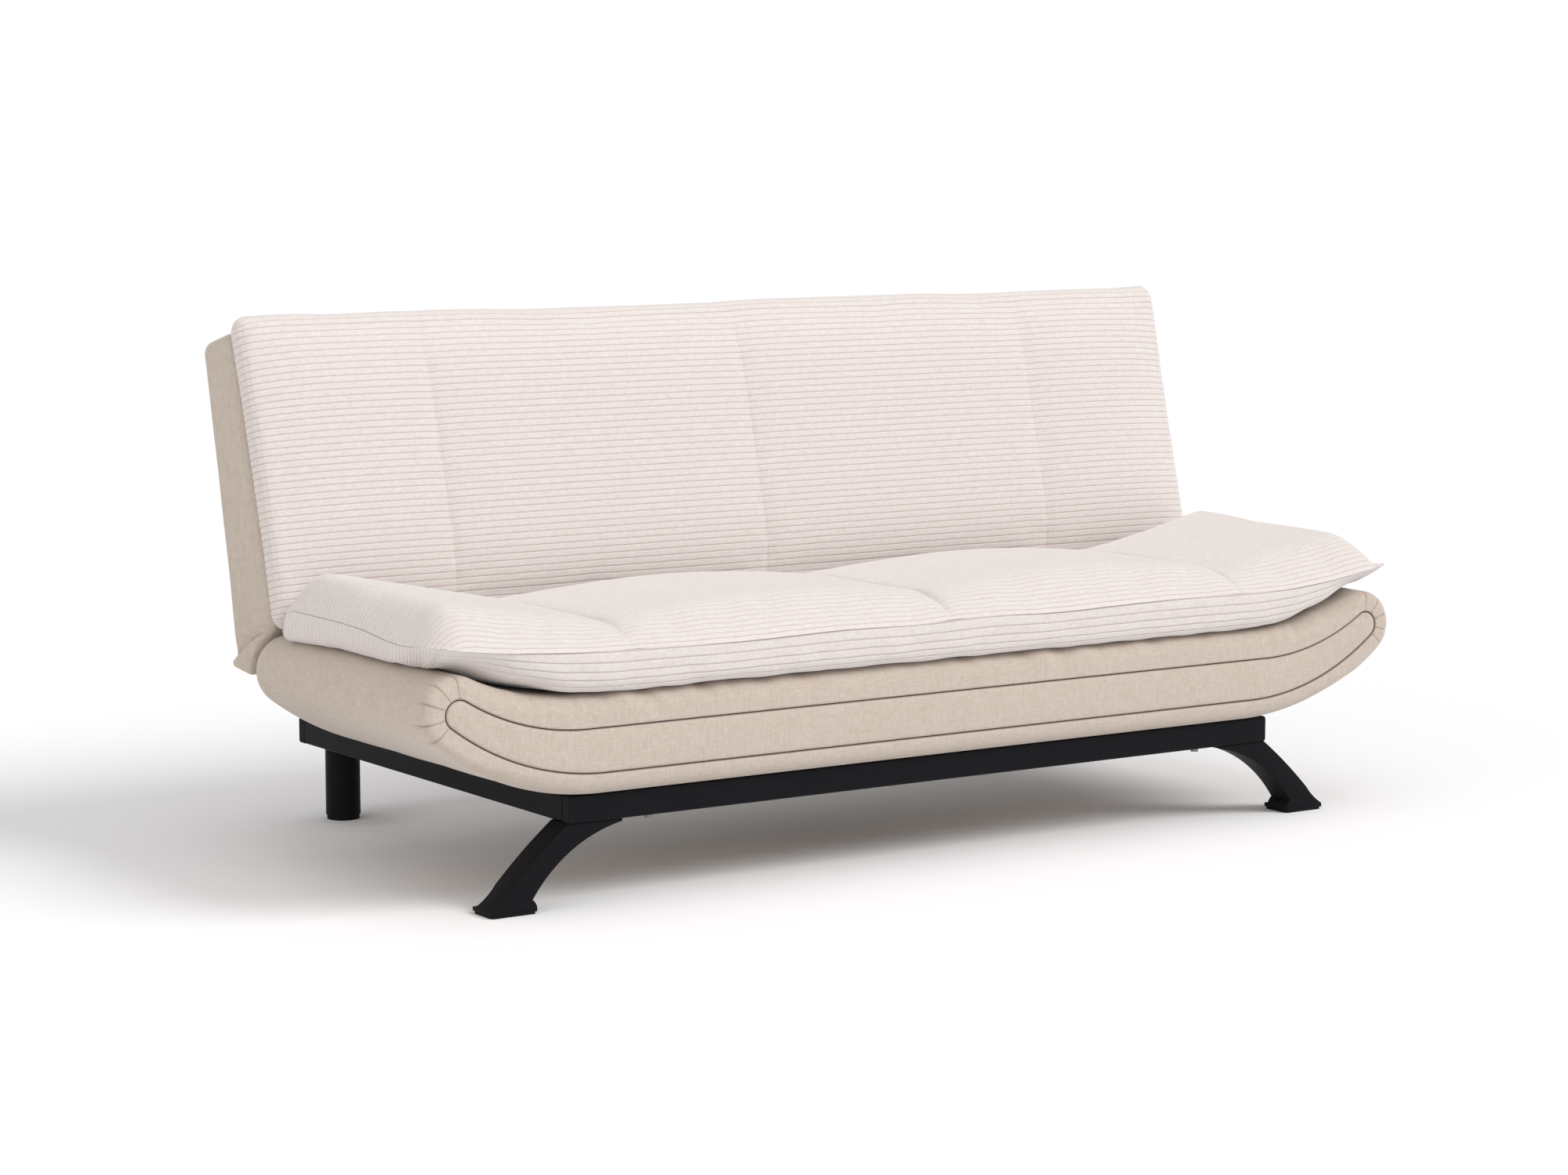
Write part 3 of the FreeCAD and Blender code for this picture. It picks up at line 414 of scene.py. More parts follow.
# Ratchet hinges: stamped plates of zinc-plated steel with a toothed disc, riveted pins and a pawl.
# They are bolted to the wing bearers and to the stiles of the back.
for side in ("left", "right"):
    finish_nodes(zinc, side + "_hinge_seat_plate", side + "_hinge_back_plate", side + "_hinge_pin",
                 side + "_pawl_pin", side + "_pawl")

# Seat mattress: foam in wide-wale corduroy, laid on the border and rising with it at both ends.
# Its cover wraps up the sides like a tray, and its upper edge is sewn to the pillow top.
# Corduroy: cut-pile cotton in rounded wales 11.3 mm apart, off-white, tan in the grooves: ground and painted
# shade.
wale_pitch = 11.3


def from_middle(tree, count):
    """How far a place lies from the middle of its wale, 0 to 0.5, where the node count numbers the wales."""
    part = add(tree, "ShaderNodeMath", {}, {0: (count, 0)}, operation="FRACT")
    part = add(tree, "ShaderNodeMath", {1: 0.5}, {0: (part, 0)}, operation="SUBTRACT")
    return add(tree, "ShaderNodeMath", {}, {0: (part, 0)}, operation="ABSOLUTE")


corduroy, tree, shader = new_finish("wide_wale_corduroy", Roughness=0.95, Sheen_Weight=0.45,
                                    Sheen_Roughness=0.45)
flat = add(tree, "ShaderNodeUVMap", uv_map="cloth")
axes = add(tree, "ShaderNodeSeparateXYZ", {}, {0: (flat, 0)})
count = add(tree, "ShaderNodeMath", {1: wale_pitch / 1000}, {0: (axes, 1)}, operation="DIVIDE")
phase = from_middle(tree, count)
pile_run = add(tree, "ShaderNodeMapping", {"Scale": (1 / 0.02, 1 / 0.0022, 1.0)}, {"Vector": (flat, 0)})
pile = add(tree, "ShaderNodeTexNoise", {"Scale": 1.0, "Detail": 3.0}, {"Vector": (pile_run, 0)})
place = add(tree, "ShaderNodeTexCoord")
mottle = add(tree, "ShaderNodeTexNoise", {"Scale": 1 / 0.007, "Detail": 5.0}, {"Vector": (place, "Object")})
ragged = add(tree, "ShaderNodeMath", {1: 0.05}, {0: (pile, 0)}, operation="MULTIPLY")
ragged = add(tree, "ShaderNodeMath", {}, {0: (phase, 0), 1: (ragged, 0)}, operation="ADD")
# Painted shade: the grooves between the wales are mixed towards tan, standing partly for the ground and
# partly for shade.
groove = add(tree, "ShaderNodeMapRange", {"From Min": 0.43, "From Max": 0.515, "To Max": 0.66},
             {"Value": (ragged, 0)}, interpolation_type="SMOOTHSTEP")
speck = add(tree, "ShaderNodeMath", {}, {0: (pile, 0), 1: (mottle, 0)}, operation="ADD")
lit = add(tree, "ShaderNodeMapRange", {"From Min": 0.7, "From Max": 1.3}, {"Value": (speck, 0)})
tone = add(tree, "ShaderNodeMix", {6: linear("#D3CAC6"), 7: linear("#DED7D4")}, {0: (lit, 0)},
           data_type="RGBA")
ground_and_shade = add(tree, "ShaderNodeMix", {7: linear("#C4B09D")}, {0: (groove, 0), 6: (tone, 2)}, data_type="RGBA")
fuzz = add(tree, "ShaderNodeBump", {"Strength": 0.3, "Distance": 0.0006}, {"Height": (speck, 0)})
lead(tree, shader, ground_and_shade, relief=fuzz)

# Wales: the tree sinks the narrow grooves between the wales into a cover, along the flat coordinate
# that the cover carries.
wales = bpy.data.node_groups.new("corduroy_wales", "GeometryNodeTree")
wales.interface.new_socket("Cover", in_out="INPUT", socket_type="NodeSocketGeometry")
pitch_in = wales.interface.new_socket("Wale pitch", in_out="INPUT", socket_type="NodeSocketFloat")
depth_in = wales.interface.new_socket("Groove depth", in_out="INPUT", socket_type="NodeSocketFloat")
cloth_in = wales.interface.new_socket("Cloth", in_out="INPUT", socket_type="NodeSocketMaterial")
wales.interface.new_socket("Cover", in_out="OUTPUT", socket_type="NodeSocketGeometry")
given = add(wales, "NodeGroupInput")
line_at = add(wales, "GeometryNodeInputNamedAttribute", {"Name": "wale"}, data_type="FLOAT")
turn = add(wales, "ShaderNodeMath", {}, {0: (line_at, 0), 1: (given, 1)}, operation="DIVIDE")
turn = from_middle(wales, turn)
turn = add(wales, "ShaderNodeMath", {1: 2.0}, {0: (turn, 0)}, operation="MULTIPLY")
turn = add(wales, "ShaderNodeMath", {1: 12.0}, {0: (turn, 0)}, operation="POWER")
sunk = add(wales, "ShaderNodeMath", {}, {0: (turn, 0), 1: (given, 2)}, operation="MULTIPLY")
sunk = add(wales, "ShaderNodeMath", {1: -1.0}, {0: (sunk, 0)}, operation="MULTIPLY")
normal = add(wales, "GeometryNodeInputNormal")
step = add(wales, "ShaderNodeVectorMath", {}, {0: (normal, 0), "Scale": (sunk, 0)}, operation="SCALE")
moved = add(wales, "GeometryNodeSetPosition", {}, {"Geometry": (given, 0), "Offset": (step, 0)})
real = add(wales, "GeometryNodeRealizeInstances", {}, {0: (moved, 0)})
coated = add(wales, "GeometryNodeSetMaterial", {}, {"Geometry": (real, 0), "Material": (given, 3)})
add(wales, "NodeGroupOutput", {}, {0: (coated, 0)})


def ribbed(name, points, faces, cloth, depth):
    """Corduroy piece from points and flat coordinates in mm, its grooves sunk by depth mm."""
    piece = skin(name, points, faces, corduroy, cloth=cloth, marks={"wale": cloth[:, 1] / 1000})
    ribs = piece.modifiers.new("wales", "NODES")
    ribs.node_group = wales
    ribs[pitch_in.identifier] = wale_pitch / 1000
    ribs[depth_in.identifier] = depth / 1000
    ribs[cloth_in.identifier] = corduroy
    applied(piece)
    return piece


def round_corner(along, across, half_along, half_across):
    """For a cloth wrapped over a rectangle: nearest point on it, run past its edge and its direction."""
    da = np.maximum(np.abs(along) - half_along, 0.0)
    db = np.maximum(np.abs(across) - half_across, 0.0)
    run = np.maximum(da, db)
    least = np.minimum(da, db) / np.maximum(run, 1e-9) * math.pi / 4
    turn = np.where(da >= db, least, math.pi / 2 - least)
    turn = np.where(run < 1e-9, 0.0, turn)
    return (np.clip(along, -half_along, half_along), np.clip(across, -half_across, half_across), run,
            np.cos(turn) * np.sign(along), np.sin(turn) * np.sign(across))


def wale_rows(low, high):
    """Rows from low to high that follow the wales: close together in the grooves, wide on the backs."""
    first = math.floor(low / wale_pitch)
    share = np.array((0.0, 0.09, 0.2, 0.38, 0.62, 0.8, 0.91))
    numbers = np.arange(first, math.ceil(high / wale_pitch) + 1)
    places = ((numbers[:, None] + share[None, :]) * wale_pitch).ravel()
    return np.concatenate([[low], places[(places > low + 0.5) & (places < high - 0.5)], [high]])


def stops(low, high, step, close=(), fine=2.5, reach=14.0):
    """Places from low to high, step apart, and fine apart within reach of each line in close."""
    places = set(np.round(np.linspace(low, high, int(round((high - low) / step)) + 1), 3))
    for line in close:
        places = {p for p in places if abs(p - line) > reach + fine / 2}
        count = int(round(2 * reach / fine))
        nearby = np.round(np.linspace(line - reach, line + reach, count + 1), 3)
        places |= {p for p in nearby if low <= p <= high}
    return np.array(sorted(places | {low, high}))


def finer(values, old, new):
    """Values given at old places along axis 0, read at new places by a smooth curve."""
    span = np.clip(np.searchsorted(old, new, side="right") - 1, 0, len(old) - 2)
    t = ((new - old[span]) / (old[span + 1] - old[span]))[:, None, None]
    p0, p1 = values[np.maximum(span - 1, 0)], values[span]
    p2, p3 = values[span + 1], values[np.minimum(span + 2, len(old) - 1)]
    return 0.5 * (2 * p1 + (p2 - p0) * t + (2 * p0 - 5 * p1 + 4 * p2 - p3) * t ** 2
                  + (3 * p1 - p0 - 3 * p2 + p3) * t ** 3)


def refined(grid, along, across, fine_along, fine_across):
    """Sheet known at along and across, read at finer places both ways."""
    grid = finer(grid, along, fine_along)
    return finer(grid.transpose(1, 0, 2), across, fine_across).transpose(1, 0, 2)


def grid_faces(columns, rows):
    """Four-sided faces of a sheet of points."""
    return [(i * rows + j, (i + 1) * rows + j, (i + 1) * rows + j + 1, i * rows + j + 1)
            for i in range(columns - 1) for j in range(rows - 1)]


def settled(grid, pins, pressure, cap, spare, free=1.0, stiff=12.0, frames=20):
    """Blows a sheet of cloth, points in mm, up against its sewn lines, moving no point over cap mm. The cloth
    has a share spare to give, and the move is evened out and scaled by free, 0 at places that stay."""
    columns, rows = grid.shape[:2]
    mesh = bpy.data.meshes.new("cloth_run")
    mesh.from_pydata((grid.reshape(-1, 3) / 1000).tolist(), [], grid_faces(columns, rows))
    sheet = placed("cloth_run", mesh)
    held = sheet.vertex_groups.new(name="sewn")
    for weight in np.unique(np.round(pins, 2)):
        if weight > 0:
            held.add(np.flatnonzero(np.round(pins.ravel(), 2) == weight).tolist(), float(weight), "REPLACE")
    run = sheet.modifiers.new("cloth", "CLOTH")
    settings = {"quality": 6, "mass": 0.3, "tension_stiffness": stiff, "compression_stiffness": stiff,
                "shear_stiffness": stiff / 2, "bending_stiffness": 1.5, "vertex_group_mass": "sewn",
                "use_pressure": True, "uniform_pressure_force": pressure, "shrink_min": -spare}
    for key, value in settings.items():
        setattr(run.settings, key, value)
    run.settings.effector_weights.gravity = 0.0
    run.collision_settings.use_collision = False
    for number in range(1, frames + 1):
        bpy.context.scene.frame_set(number)
    result = sheet.evaluated_get(bpy.context.evaluated_depsgraph_get()).to_mesh()
    blown = np.empty(len(result.vertices) * 3)
    result.vertices.foreach_get("co", blown)
    blown = blown.reshape(columns, rows, 3) * 1000
    bpy.data.objects.remove(sheet)
    bpy.data.meshes.remove(mesh)
    bpy.context.scene.frame_set(1)
    move = blown - grid
    far = np.linalg.norm(move, axis=2, keepdims=True)
    move = move * np.minimum(1.0, cap / np.maximum(far, 1e-9))
    for _ in range(3):
        wide = np.pad(move, ((1, 1), (1, 1), (0, 0)), mode="edge")
        beside = wide[:-2, 1:-1] + wide[2:, 1:-1] + wide[1:-1, :-2] + wide[1:-1, 2:]
        move = (move + beside / 4) / 2
    return grid + move * np.broadcast_to(free, grid.shape[:2])[:, :, None]


lid_rows = 26


def closed_sheet(grid, lid=None):
    """Points and faces of a sheet closed along its open side, at the heights that lid gives at x and y."""
    share = np.linspace(0, 1, lid_rows)[1:-1, None]
    rings = []
    for column in grid:
        across = column[-1] * (1 - share) + column[0] * share
        if lid:
            across[:, 2] = lid(across[:, 0], across[:, 1])
        rings.append(np.concatenate([column, across]))
    return rings_closed(rings)


def flat_places(along, across):
    """Flat coordinates for the rings of a closed sheet; those of its lid run back to the start."""
    back = np.linspace(across[-1], across[0], lid_rows)[1:-1]
    return np.stack(np.meshgrid(along, np.concatenate([across, back]), indexing="ij"), 2).reshape(-1, 2)


mattress_half = 958.0
mattress_front = -488.0
mattress_rear = 42.0
mattress_base_x = 925.0
mattress_base_y = 241.0
mattress_middle_y = -201.0
mattress_wrap = 78.0
mattress_end_out = mattress_half - mattress_base_x
mattress_front_out = mattress_middle_y - mattress_base_y - mattress_front
mattress_rear_out = mattress_rear - mattress_middle_y - mattress_base_y
mattress_reach_x = mattress_base_x + mattress_wrap
mattress_reach_y = mattress_base_y + mattress_wrap
seam_height = 411.0
seam_climb = 29.0
mattress_swell = 9.0
corner_round = 84.0
rear_spread = 18.0
channel_x = 618.0
channels = (-channel_x, 0.0, channel_x)
outer_run = mattress_half - channel_x
rise_middle = seat_top + border_rise
rise_start = round(nose_x) - math.sqrt((border_rise + border_nose) ** 2 - (rise_middle - nose_z) ** 2)
nose_start = nose_x - 25.8


def wing_share(x):
    """0 over the flat of the seat, growing to 1 at the ends of the mattress."""
    return np.minimum(np.maximum((np.abs(x) - channel_x) / outer_run, 0.0), 1.05) ** 2


def seam_z(x, y):
    """Height of the seam between mattress and pillow top: it waves, climbs the wings, sags near the
    front of each end and dips at the rear corners."""
    share = wing_share(x)
    way = np.clip((mattress_rear - y) / (mattress_rear - mattress_front), 0, 1)
    wave = 1.6 * np.sin(x / 61 + 1.1 * np.sin(x / 173)) * way ** 4
    bend = -12.5 * np.exp(-((way - 0.73) / 0.19) ** 2) - 7.0 * np.exp(-(way / 0.03) ** 2)
    return seam_height + seam_climb * share + wave + bend * share ** 2


def border_top(x):
    """Top of the border's skin at x: flat, then the hollow rise, then the round of the nose."""
    out = np.minimum(np.maximum(np.abs(x) - rise_start, 0), 420)
    rise = rise_middle - np.sqrt(border_rise ** 2 - out ** 2)
    nose = nose_z + np.sqrt(np.maximum(border_nose ** 2 - (np.abs(x) - nose_x) ** 2, 0))
    return np.where(np.abs(x) > nose_start, nose, rise)


def puff(x):
    """Fullness at x: 0 on the three sewn channels, 1 half-way between two of them."""
    near = np.minimum(np.abs(x), np.abs(np.abs(x) - channel_x))
    span = np.where(np.abs(x) < channel_x, channel_x / 2, outer_run / 2)
    return np.sin(np.minimum(near / span, 1.0) * math.pi / 2)


def mattress_cover(along, across):
    """Place of the mattress cover at flat coordinates in mm: bottom, wrapped up the four sides. It thins
    out at the front corners, where its foot is rounded off, and spreads at the rear ones."""
    a, b = np.meshgrid(along, across, indexing="ij")
    base_x, base_y, run, toward_x, toward_y = round_corner(a, b, mattress_base_x, mattress_base_y)
    share = np.clip(run / mattress_wrap, 0, 1)
    from_end = (mattress_base_x - np.abs(base_x)) / 190
    from_front = (base_y + mattress_base_y) / 130
    thin = 1 - np.clip(np.hypot(from_end, from_front), 0, 1)
    thin = 0.6 * thin ** 2 * (3 - 2 * thin)
    out = np.sin(share * math.pi / 2) ** 0.8 * (1 - thin) + share * thin
    swell = mattress_swell * np.sin(share * math.pi) * (1 - share) * (1 - thin)
    square = 1 - 0.4 * share
    rounded = corner_round * np.clip((np.abs(base_x) - 630) / 295, 0, 1) ** 1.7
    forward = np.clip(-base_y / mattress_base_y, 0, 1) ** 2
    rearward = np.clip(base_y / mattress_base_y, 0, 1) ** 1.5
    spread = rear_spread * np.sign(base_x) * (1 - share) * np.clip((np.abs(base_x) - 780) / 145, 0, 1) ** 2
    base_x = base_x + spread * rearward
    x = base_x + np.sign(toward_x) * np.abs(toward_x) ** square * (mattress_end_out * out + swell)
    y = base_y + mattress_middle_y + rounded * forward * (1 - out)
    y = y + np.where(toward_y < 0, -np.abs(toward_y) ** square * (mattress_front_out * out + swell),
                     toward_y * mattress_rear_out * share)
    low = border_top(base_x) + 1.0 + 8.0 * np.exp(-((np.abs(base_x) - 790) / 85) ** 2) * forward ** 2
    z = low + (seam_z(x, y) - low) * ((1 - np.cos(share * math.pi / 2)) * (1 - thin) + share * thin)
    return np.stack([x, y, z], 2)


def mattress_lid(x, y):
    """Top of the mattress, under the pillow top: at their seam near the ends, lower over the flat."""
    return seam_z(x, y) - 0.3 - 6.0 * (1 - np.minimum(wing_share(x), 1.0) ** 3)


coarse_along = 14.0
coarse_across = 13.0
cover_along = 11.0
along = stops(-mattress_reach_x, mattress_reach_x, coarse_along)
across = stops(-mattress_reach_y, mattress_reach_y, coarse_across)
grid = mattress_cover(along, across)
run = round_corner(*np.meshgrid(along, across, indexing="ij"), mattress_base_x, mattress_base_y)[2]
pins = np.where(run < 3, 1.0, 0.0)
pins[[0, -1], :] = 1.0
pins[:, [0, -1]] = 1.0
off_seam = 1 - np.clip(run / mattress_wrap * 3 - 2, 0, 1)
grid = settled(grid, pins, pressure=2.0, cap=3.0, spare=0.02, free=off_seam)
fine_along = stops(-mattress_reach_x, mattress_reach_x, cover_along)
fine_across = wale_rows(-mattress_reach_y, mattress_reach_y)
grid = refined(grid, along, across, fine_along, fine_across)
points, faces = closed_sheet(grid, mattress_lid)
mattress = ribbed("seat_mattress_cover", points, faces, flat_places(fine_along, fine_across), depth=1.6)
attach(mattress, "base")
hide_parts("seat_mattress")

# Pillow top: a quilted corduroy cushion sewn round its edge to the mattress, drawn down by three
# sewn channels from front to rear. It is fuller over the wings and its corners end in points.
pillow_flat = 590.0
pillow_end = 120.0
channel_crown = 31.0
channel_depth = 4.0
wing_puff = 33.5
middle_puff = 24.0
front_fall = 108.0
end_fall = 45.0
rear_fall = 200.0
channel_hold = 0.85


def pillow_cover(along, shares):
    """Place of the pillow top's cover at x and at a share of the way from its front seam to the rear."""
    rows = []
    turn = np.linspace(0, math.pi, 500)
    for x in along:
        tip = min(float(wing_share(x)), 1.0)
        s = min(max((abs(x) - channel_x) / outer_run, 0.0), 1.0)
        near = float(puff(x))
        drawn = 8.0 * (1 - near ** 0.55) * (1 - tip)
        front = mattress_front - 1.0 - 2.0 * (1 - tip) + drawn
        rear = mattress_rear + 3.0 - drawn * 0.5
        y = front + (rear - front) * (1 - np.cos(turn)) / 2
        way = np.clip((rear - y) / (rear - front), 0, 1)
        if s > 0:
            crown = channel_crown + (wing_puff - 10.0 * way) * (1 - (1 - s) ** 2)
        else:
            crown = channel_crown + middle_puff * near ** (1.1 - 0.55 * way)
        crown = crown - 4.0 * np.sign(x) * s * (1 - way)
        from_front, from_end = y - front, mattress_half - abs(x)
        falling = 1 - np.clip(from_front / (front_fall + 7.0 * tip), 0, 1)
        ending = 1 - np.clip(from_end / (end_fall + 25.0 * way), 0, 1)
        corner = (falling ** 2.6 + ending ** 2.6) ** (1 / 2.6)
        full = np.maximum(np.cos(np.minimum(corner, 1) * math.pi / 2), 0) ** 0.9
        rising = np.clip((rear - y) / (rear_fall - 143.0 * tip ** 0.5), 0, 1)
        full = full * np.sin(rising * math.pi / 2) ** 0.5
        edge = 1 - np.exp(-np.minimum(np.minimum(from_front, from_end), rear - y) / 4.0)
        seam = seam_z(x, y)
        z = seam - 0.8 + 2.8 * edge + (crown + seam_height + seam_climb * tip - seam) * full
        bulge = 6.5 * (1 - math.exp(-from_end / 1.5)) * math.exp(-from_end / 12.0)
        bulge = bulge - 2.0 * math.exp(-from_end / 20.0)
        length = np.concatenate([[0], np.cumsum(np.hypot(np.diff(y), np.diff(z)))])
        at = shares * length[-1]
        y, z = np.interp(at, length, y), np.interp(at, length, z)
        blunt = 10.0 * np.exp(-(y - front + from_end) / 8.0)
        rows.append(np.stack([x + np.sign(x) * (bulge - blunt), y + blunt, z], 1))
    return np.array(rows)


def pillow_columns(step, gap, tips, close=()):
    """Places along the pillow top: step apart, then a gap and tips places that crowd towards each end."""
    end = mattress_half - pillow_end + pillow_end * np.sin(np.linspace(0, math.pi / 2, tips))
    inside = mattress_half - pillow_end - gap
    return np.concatenate([-end[::-1], stops(-inside, inside, step, close), end])


along = pillow_columns(coarse_along, 12.0, 16)
shares = np.linspace(0, 1, 46)
grid = pillow_cover(along, shares)
pins = np.zeros(grid.shape[:2])
for line in channels:
    pins[np.argmin(np.abs(along - line)), 2:-2] = channel_hold
pins[[0, -1], :] = 1.0
pins[:, [0, -1]] = 1.0
off_ends = np.clip((mattress_half - np.abs(along)) / 60, 0, 1)[:, None]
grid = settled(grid, pins, pressure=2.0, cap=4.0, spare=0.015, free=off_ends)
fine_along = pillow_columns(cover_along, 10.0, 22, channels)
fine_shares = wale_rows(0.0, pillow_flat) / pillow_flat
grid = refined(grid, along, shares, fine_along, fine_shares)
off_edges = np.sin(fine_shares * math.pi)[None, :] ** 0.4
for line in channels:
    sewn = np.exp(-((fine_along - line) / 4.5) ** 2)[:, None] * off_edges
    grid[:, :, 2] -= channel_depth * sewn
points, faces = closed_sheet(grid, lambda x, y: seam_z(x, y) - 2.0)
cloth = flat_places(fine_along, fine_shares * pillow_flat)
pillow = ribbed("seat_pillow_cover", points, faces, cloth, depth=1.8)
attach(pillow, "base")
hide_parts("seat_pillow_top")

# Back frame: pine stiles, beams and slats inside the backrest, finished like the seat frame. The two
# stiles are bolted to the hinge arms.
finish_nodes(pine, "left_back_stile", "right_back_stile", "back_bottom_beam", "back_top_beam", "back_slats")

# Back shell, its soft lip and its rear panel: foam and board covered in the beige weave. The lip
# closes the gap over the hinges, and the rear panel is sewn in round its edge.
recline = math.radians(15.0)
hinge_y = 150.0
hinge_z = 323.0


def on_back(x, u, v):
    """Row place of a point of the back: u up its front face, v to its rear, both from the hinge pins."""
    return np.stack([x, hinge_y + u * math.sin(recline) + v * math.cos(recline),
                     hinge_z + u * math.cos(recline) - v * math.sin(recline)], -1)


hollow_round = 8.0


def rounded_profile(corners, step=9.0):
    """Closed profile through corners (u, v, radius), with its outward directions and its radii. Towards a
    hollow corner the radius runs out gradually, so that a rounded end keeps an even edge."""
    places, aims, radii = [], [], []
    count = len(corners)
    for k in range(count):
        here = np.array(corners[k][:2])
        before = np.array(corners[k - 1][:2]) - here
        after = np.array(corners[(k + 1) % count][:2]) - here
        before = before / np.linalg.norm(before)
        after = after / np.linalg.norm(after)
        radius = corners[k][2]
        turned = np.sign(before[1] * after[0] - before[0] * after[1])
        half = math.acos(np.clip(before @ after, -1, 1)) / 2
        middle = here + (before + after) / np.linalg.norm(before + after) * radius / math.sin(half)
        first = here + before * radius / math.tan(half) - middle
        second = here + after * radius / math.tan(half) - middle
        for t in np.linspace(0, 1, 9):
            aim = first * (1 - t) + second * t
            aim = aim / np.linalg.norm(aim)
            places.append(middle + aim * radius)
            aims.append(aim * turned)
            radii.append(radius if turned > 0 else hollow_round)
        following = corners[(k + 1) % count]
        there = np.array(following[:2])
        onward = np.array(corners[(k + 2) % count][:2]) - there
        onward = onward / np.linalg.norm(onward)
        next_half = math.acos(np.clip(-after @ onward, -1, 1)) / 2
        begin = places[-1]
        stop = there - after * following[2] / math.tan(next_half)
        pieces = max(int(np.linalg.norm(stop - begin) / step), 1)
        to_hollow = after[0] * onward[1] < after[1] * onward[0]
        start = radii[-1]
        for t in np.linspace(0, 1, pieces + 1)[1:-1]:
            places.append(begin * (1 - t) + stop * t)
            aims.append(aims[-1])
            if to_hollow:
                radii.append(start + (hollow_round - start) * t ** 6)
            else:
                radii.append(radii[-1] + (following[2] - radii[-1]) * t)
    return np.array(places), np.array(aims), np.array(radii)


crease_depth = 8.0
ear_out = 4.0


def corner_tuck(u, v):
    """How far the shell's end stands out, in mm: a crease across its foot, a stuffed ear below."""
    crease = np.interp(v, (-73.0, -44.0, -7.0, 32.0, 69.0, 90.0), (60.0, 61.0, 62.0, 57.0, 46.0, 40.0))
    above = np.maximum(u - crease, 0.0)
    below = np.maximum(crease - u, 0.0)
    ear = ear_out - (ear_out + crease_depth) * np.exp(-below / 3.5)
    return np.where(u < crease, ear, -crease_depth * np.exp(-above / 12.0))


def slab(corners, half_width, end_round, crumple, flare=0.0, tuck=None):
    """Points and faces of a long padded piece of one profile, its ends rounded, its skin slightly uneven. A
    tucked end is filled with rings about heart, a point that sees its whole profile."""
    places, aims, radii = rounded_profile(corners)
    rounds = np.minimum(radii * 0.7, end_round)
    heart = np.array((95.0, 15.0))

    def widened(u):
        return 1 + flare * (u / 280 - 1)

    def ring(side, turn, inset=0.0, shrink=1.0):
        flat = places - aims * (rounds * (1 - math.sin(turn)) + inset)[:, None]
        flat = heart + (flat - heart) * shrink
        out = half_width - rounds * (1 - math.cos(turn))
        if tuck:
            out = out + tuck(flat[:, 0], flat[:, 1]) * math.cos(turn)
        return on_back(side * out * widened(flat[:, 0]), flat[:, 0], flat[:, 1])

    turns = np.linspace(0, math.pi / 2, 9)
    shrinks = np.arange(0.06, 0.985, 0.023) if tuck else ()
    rings = [ring(-1, 0.0, 1.5, shrink) for shrink in shrinks]
    rings += [ring(-1, 0.0, 1.5)] + [ring(-1, turn) for turn in turns]
    far = half_width - end_round
    for x in np.linspace(-far, far, 150)[1:-1]:
        rings.append(on_back(x * widened(places[:, 0]), places[:, 0], places[:, 1]))
    rings += [ring(1, turn) for turn in turns[::-1]] + [ring(1, 0.0, 1.5)]
    rings += [ring(1, 0.0, 1.5, shrink) for shrink in shrinks[::-1]]
    lean = np.stack([aims[:, 0] * math.sin(recline) + aims[:, 1] * math.cos(recline),
                     aims[:, 0] * math.cos(recline) - aims[:, 1] * math.sin(recline)], 1)
    for shape in rings:
        wave = np.sin(shape[:, 0] / 71 + shape[:, 2] / 37) * np.sin(shape[:, 2] / 53 - shape[:, 1] / 29)
        shape[:, 1:] += lean * (wave * crumple * np.clip((places[:, 0] - 90) / 60, 0, 1))[:, None]
    return rings_closed(rings)


shell_front = -66.5
shell_top = 562.0
shell_top_rear = 42.0
points, faces = slab([(74.0, shell_front, 24.0), (shell_top, shell_front, 24.0),
                      (shell_top, shell_top_rear, 24.0), (44.0, 85.5, 30.0), (33.0, 98.0, 7.0),
                      (22.0, 95.0, 8.0), (0.0, 40.0, 9.0), (31.0, 10.5, 9.0)],
                     half_width=957.0, end_round=20.0, crumple=0.8, flare=0.006, tuck=corner_tuck)
shell = skin("back_shell_cover", points, faces, weave)
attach(shell, "backrest")
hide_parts("back_shell", "back_lip")
rear_foot_u = 48.5
rear_foot_v = 85.0
rear_slope = (shell_top_rear - rear_foot_v) / (shell_top - rear_foot_u)
low_u = 102.5
high_u = 527.5
low_v = rear_foot_v + rear_slope * (low_u - rear_foot_u)
high_v = rear_foot_v + rear_slope * (high_u - rear_foot_u)
points, faces = slab([(low_u, low_v - 8, 3.0), (high_u, high_v - 8, 3.0), (high_u, high_v + 1.5, 3.0),
                      (low_u, low_v + 1.5, 3.0)], half_width=917.5, end_round=3.0, crumple=0.3)
cover = skin("back_rear_panel", points, faces, weave)
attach(cover, "backrest")
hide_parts("back_rear_cover")

# Topper of the back: a boxed pad of foam in the same corduroy, its front panel sewn to the boxing
# along a seam just inside the edge, with three sewn channels from top to bottom.
topper_base = -66.8
topper_edge = 46.0
topper_round = 26.0
topper_half_x = 962.0 - topper_round
topper_half_u = 262.0 - topper_round
topper_middle_u = 319.0
topper_tuck = topper_edge - topper_round
topper_flare = 0.003
topper_channels = (-634.0, -8.0, 612.0)
topper_wrap = topper_round * math.pi / 2 + topper_tuck
topper_reach_x = topper_half_x + topper_wrap
topper_reach_u = topper_half_u + topper_wrap
topper_seam = 19.0
topper_crown = 20.0
topper_puff = 7.0
topper_droop = 11.0


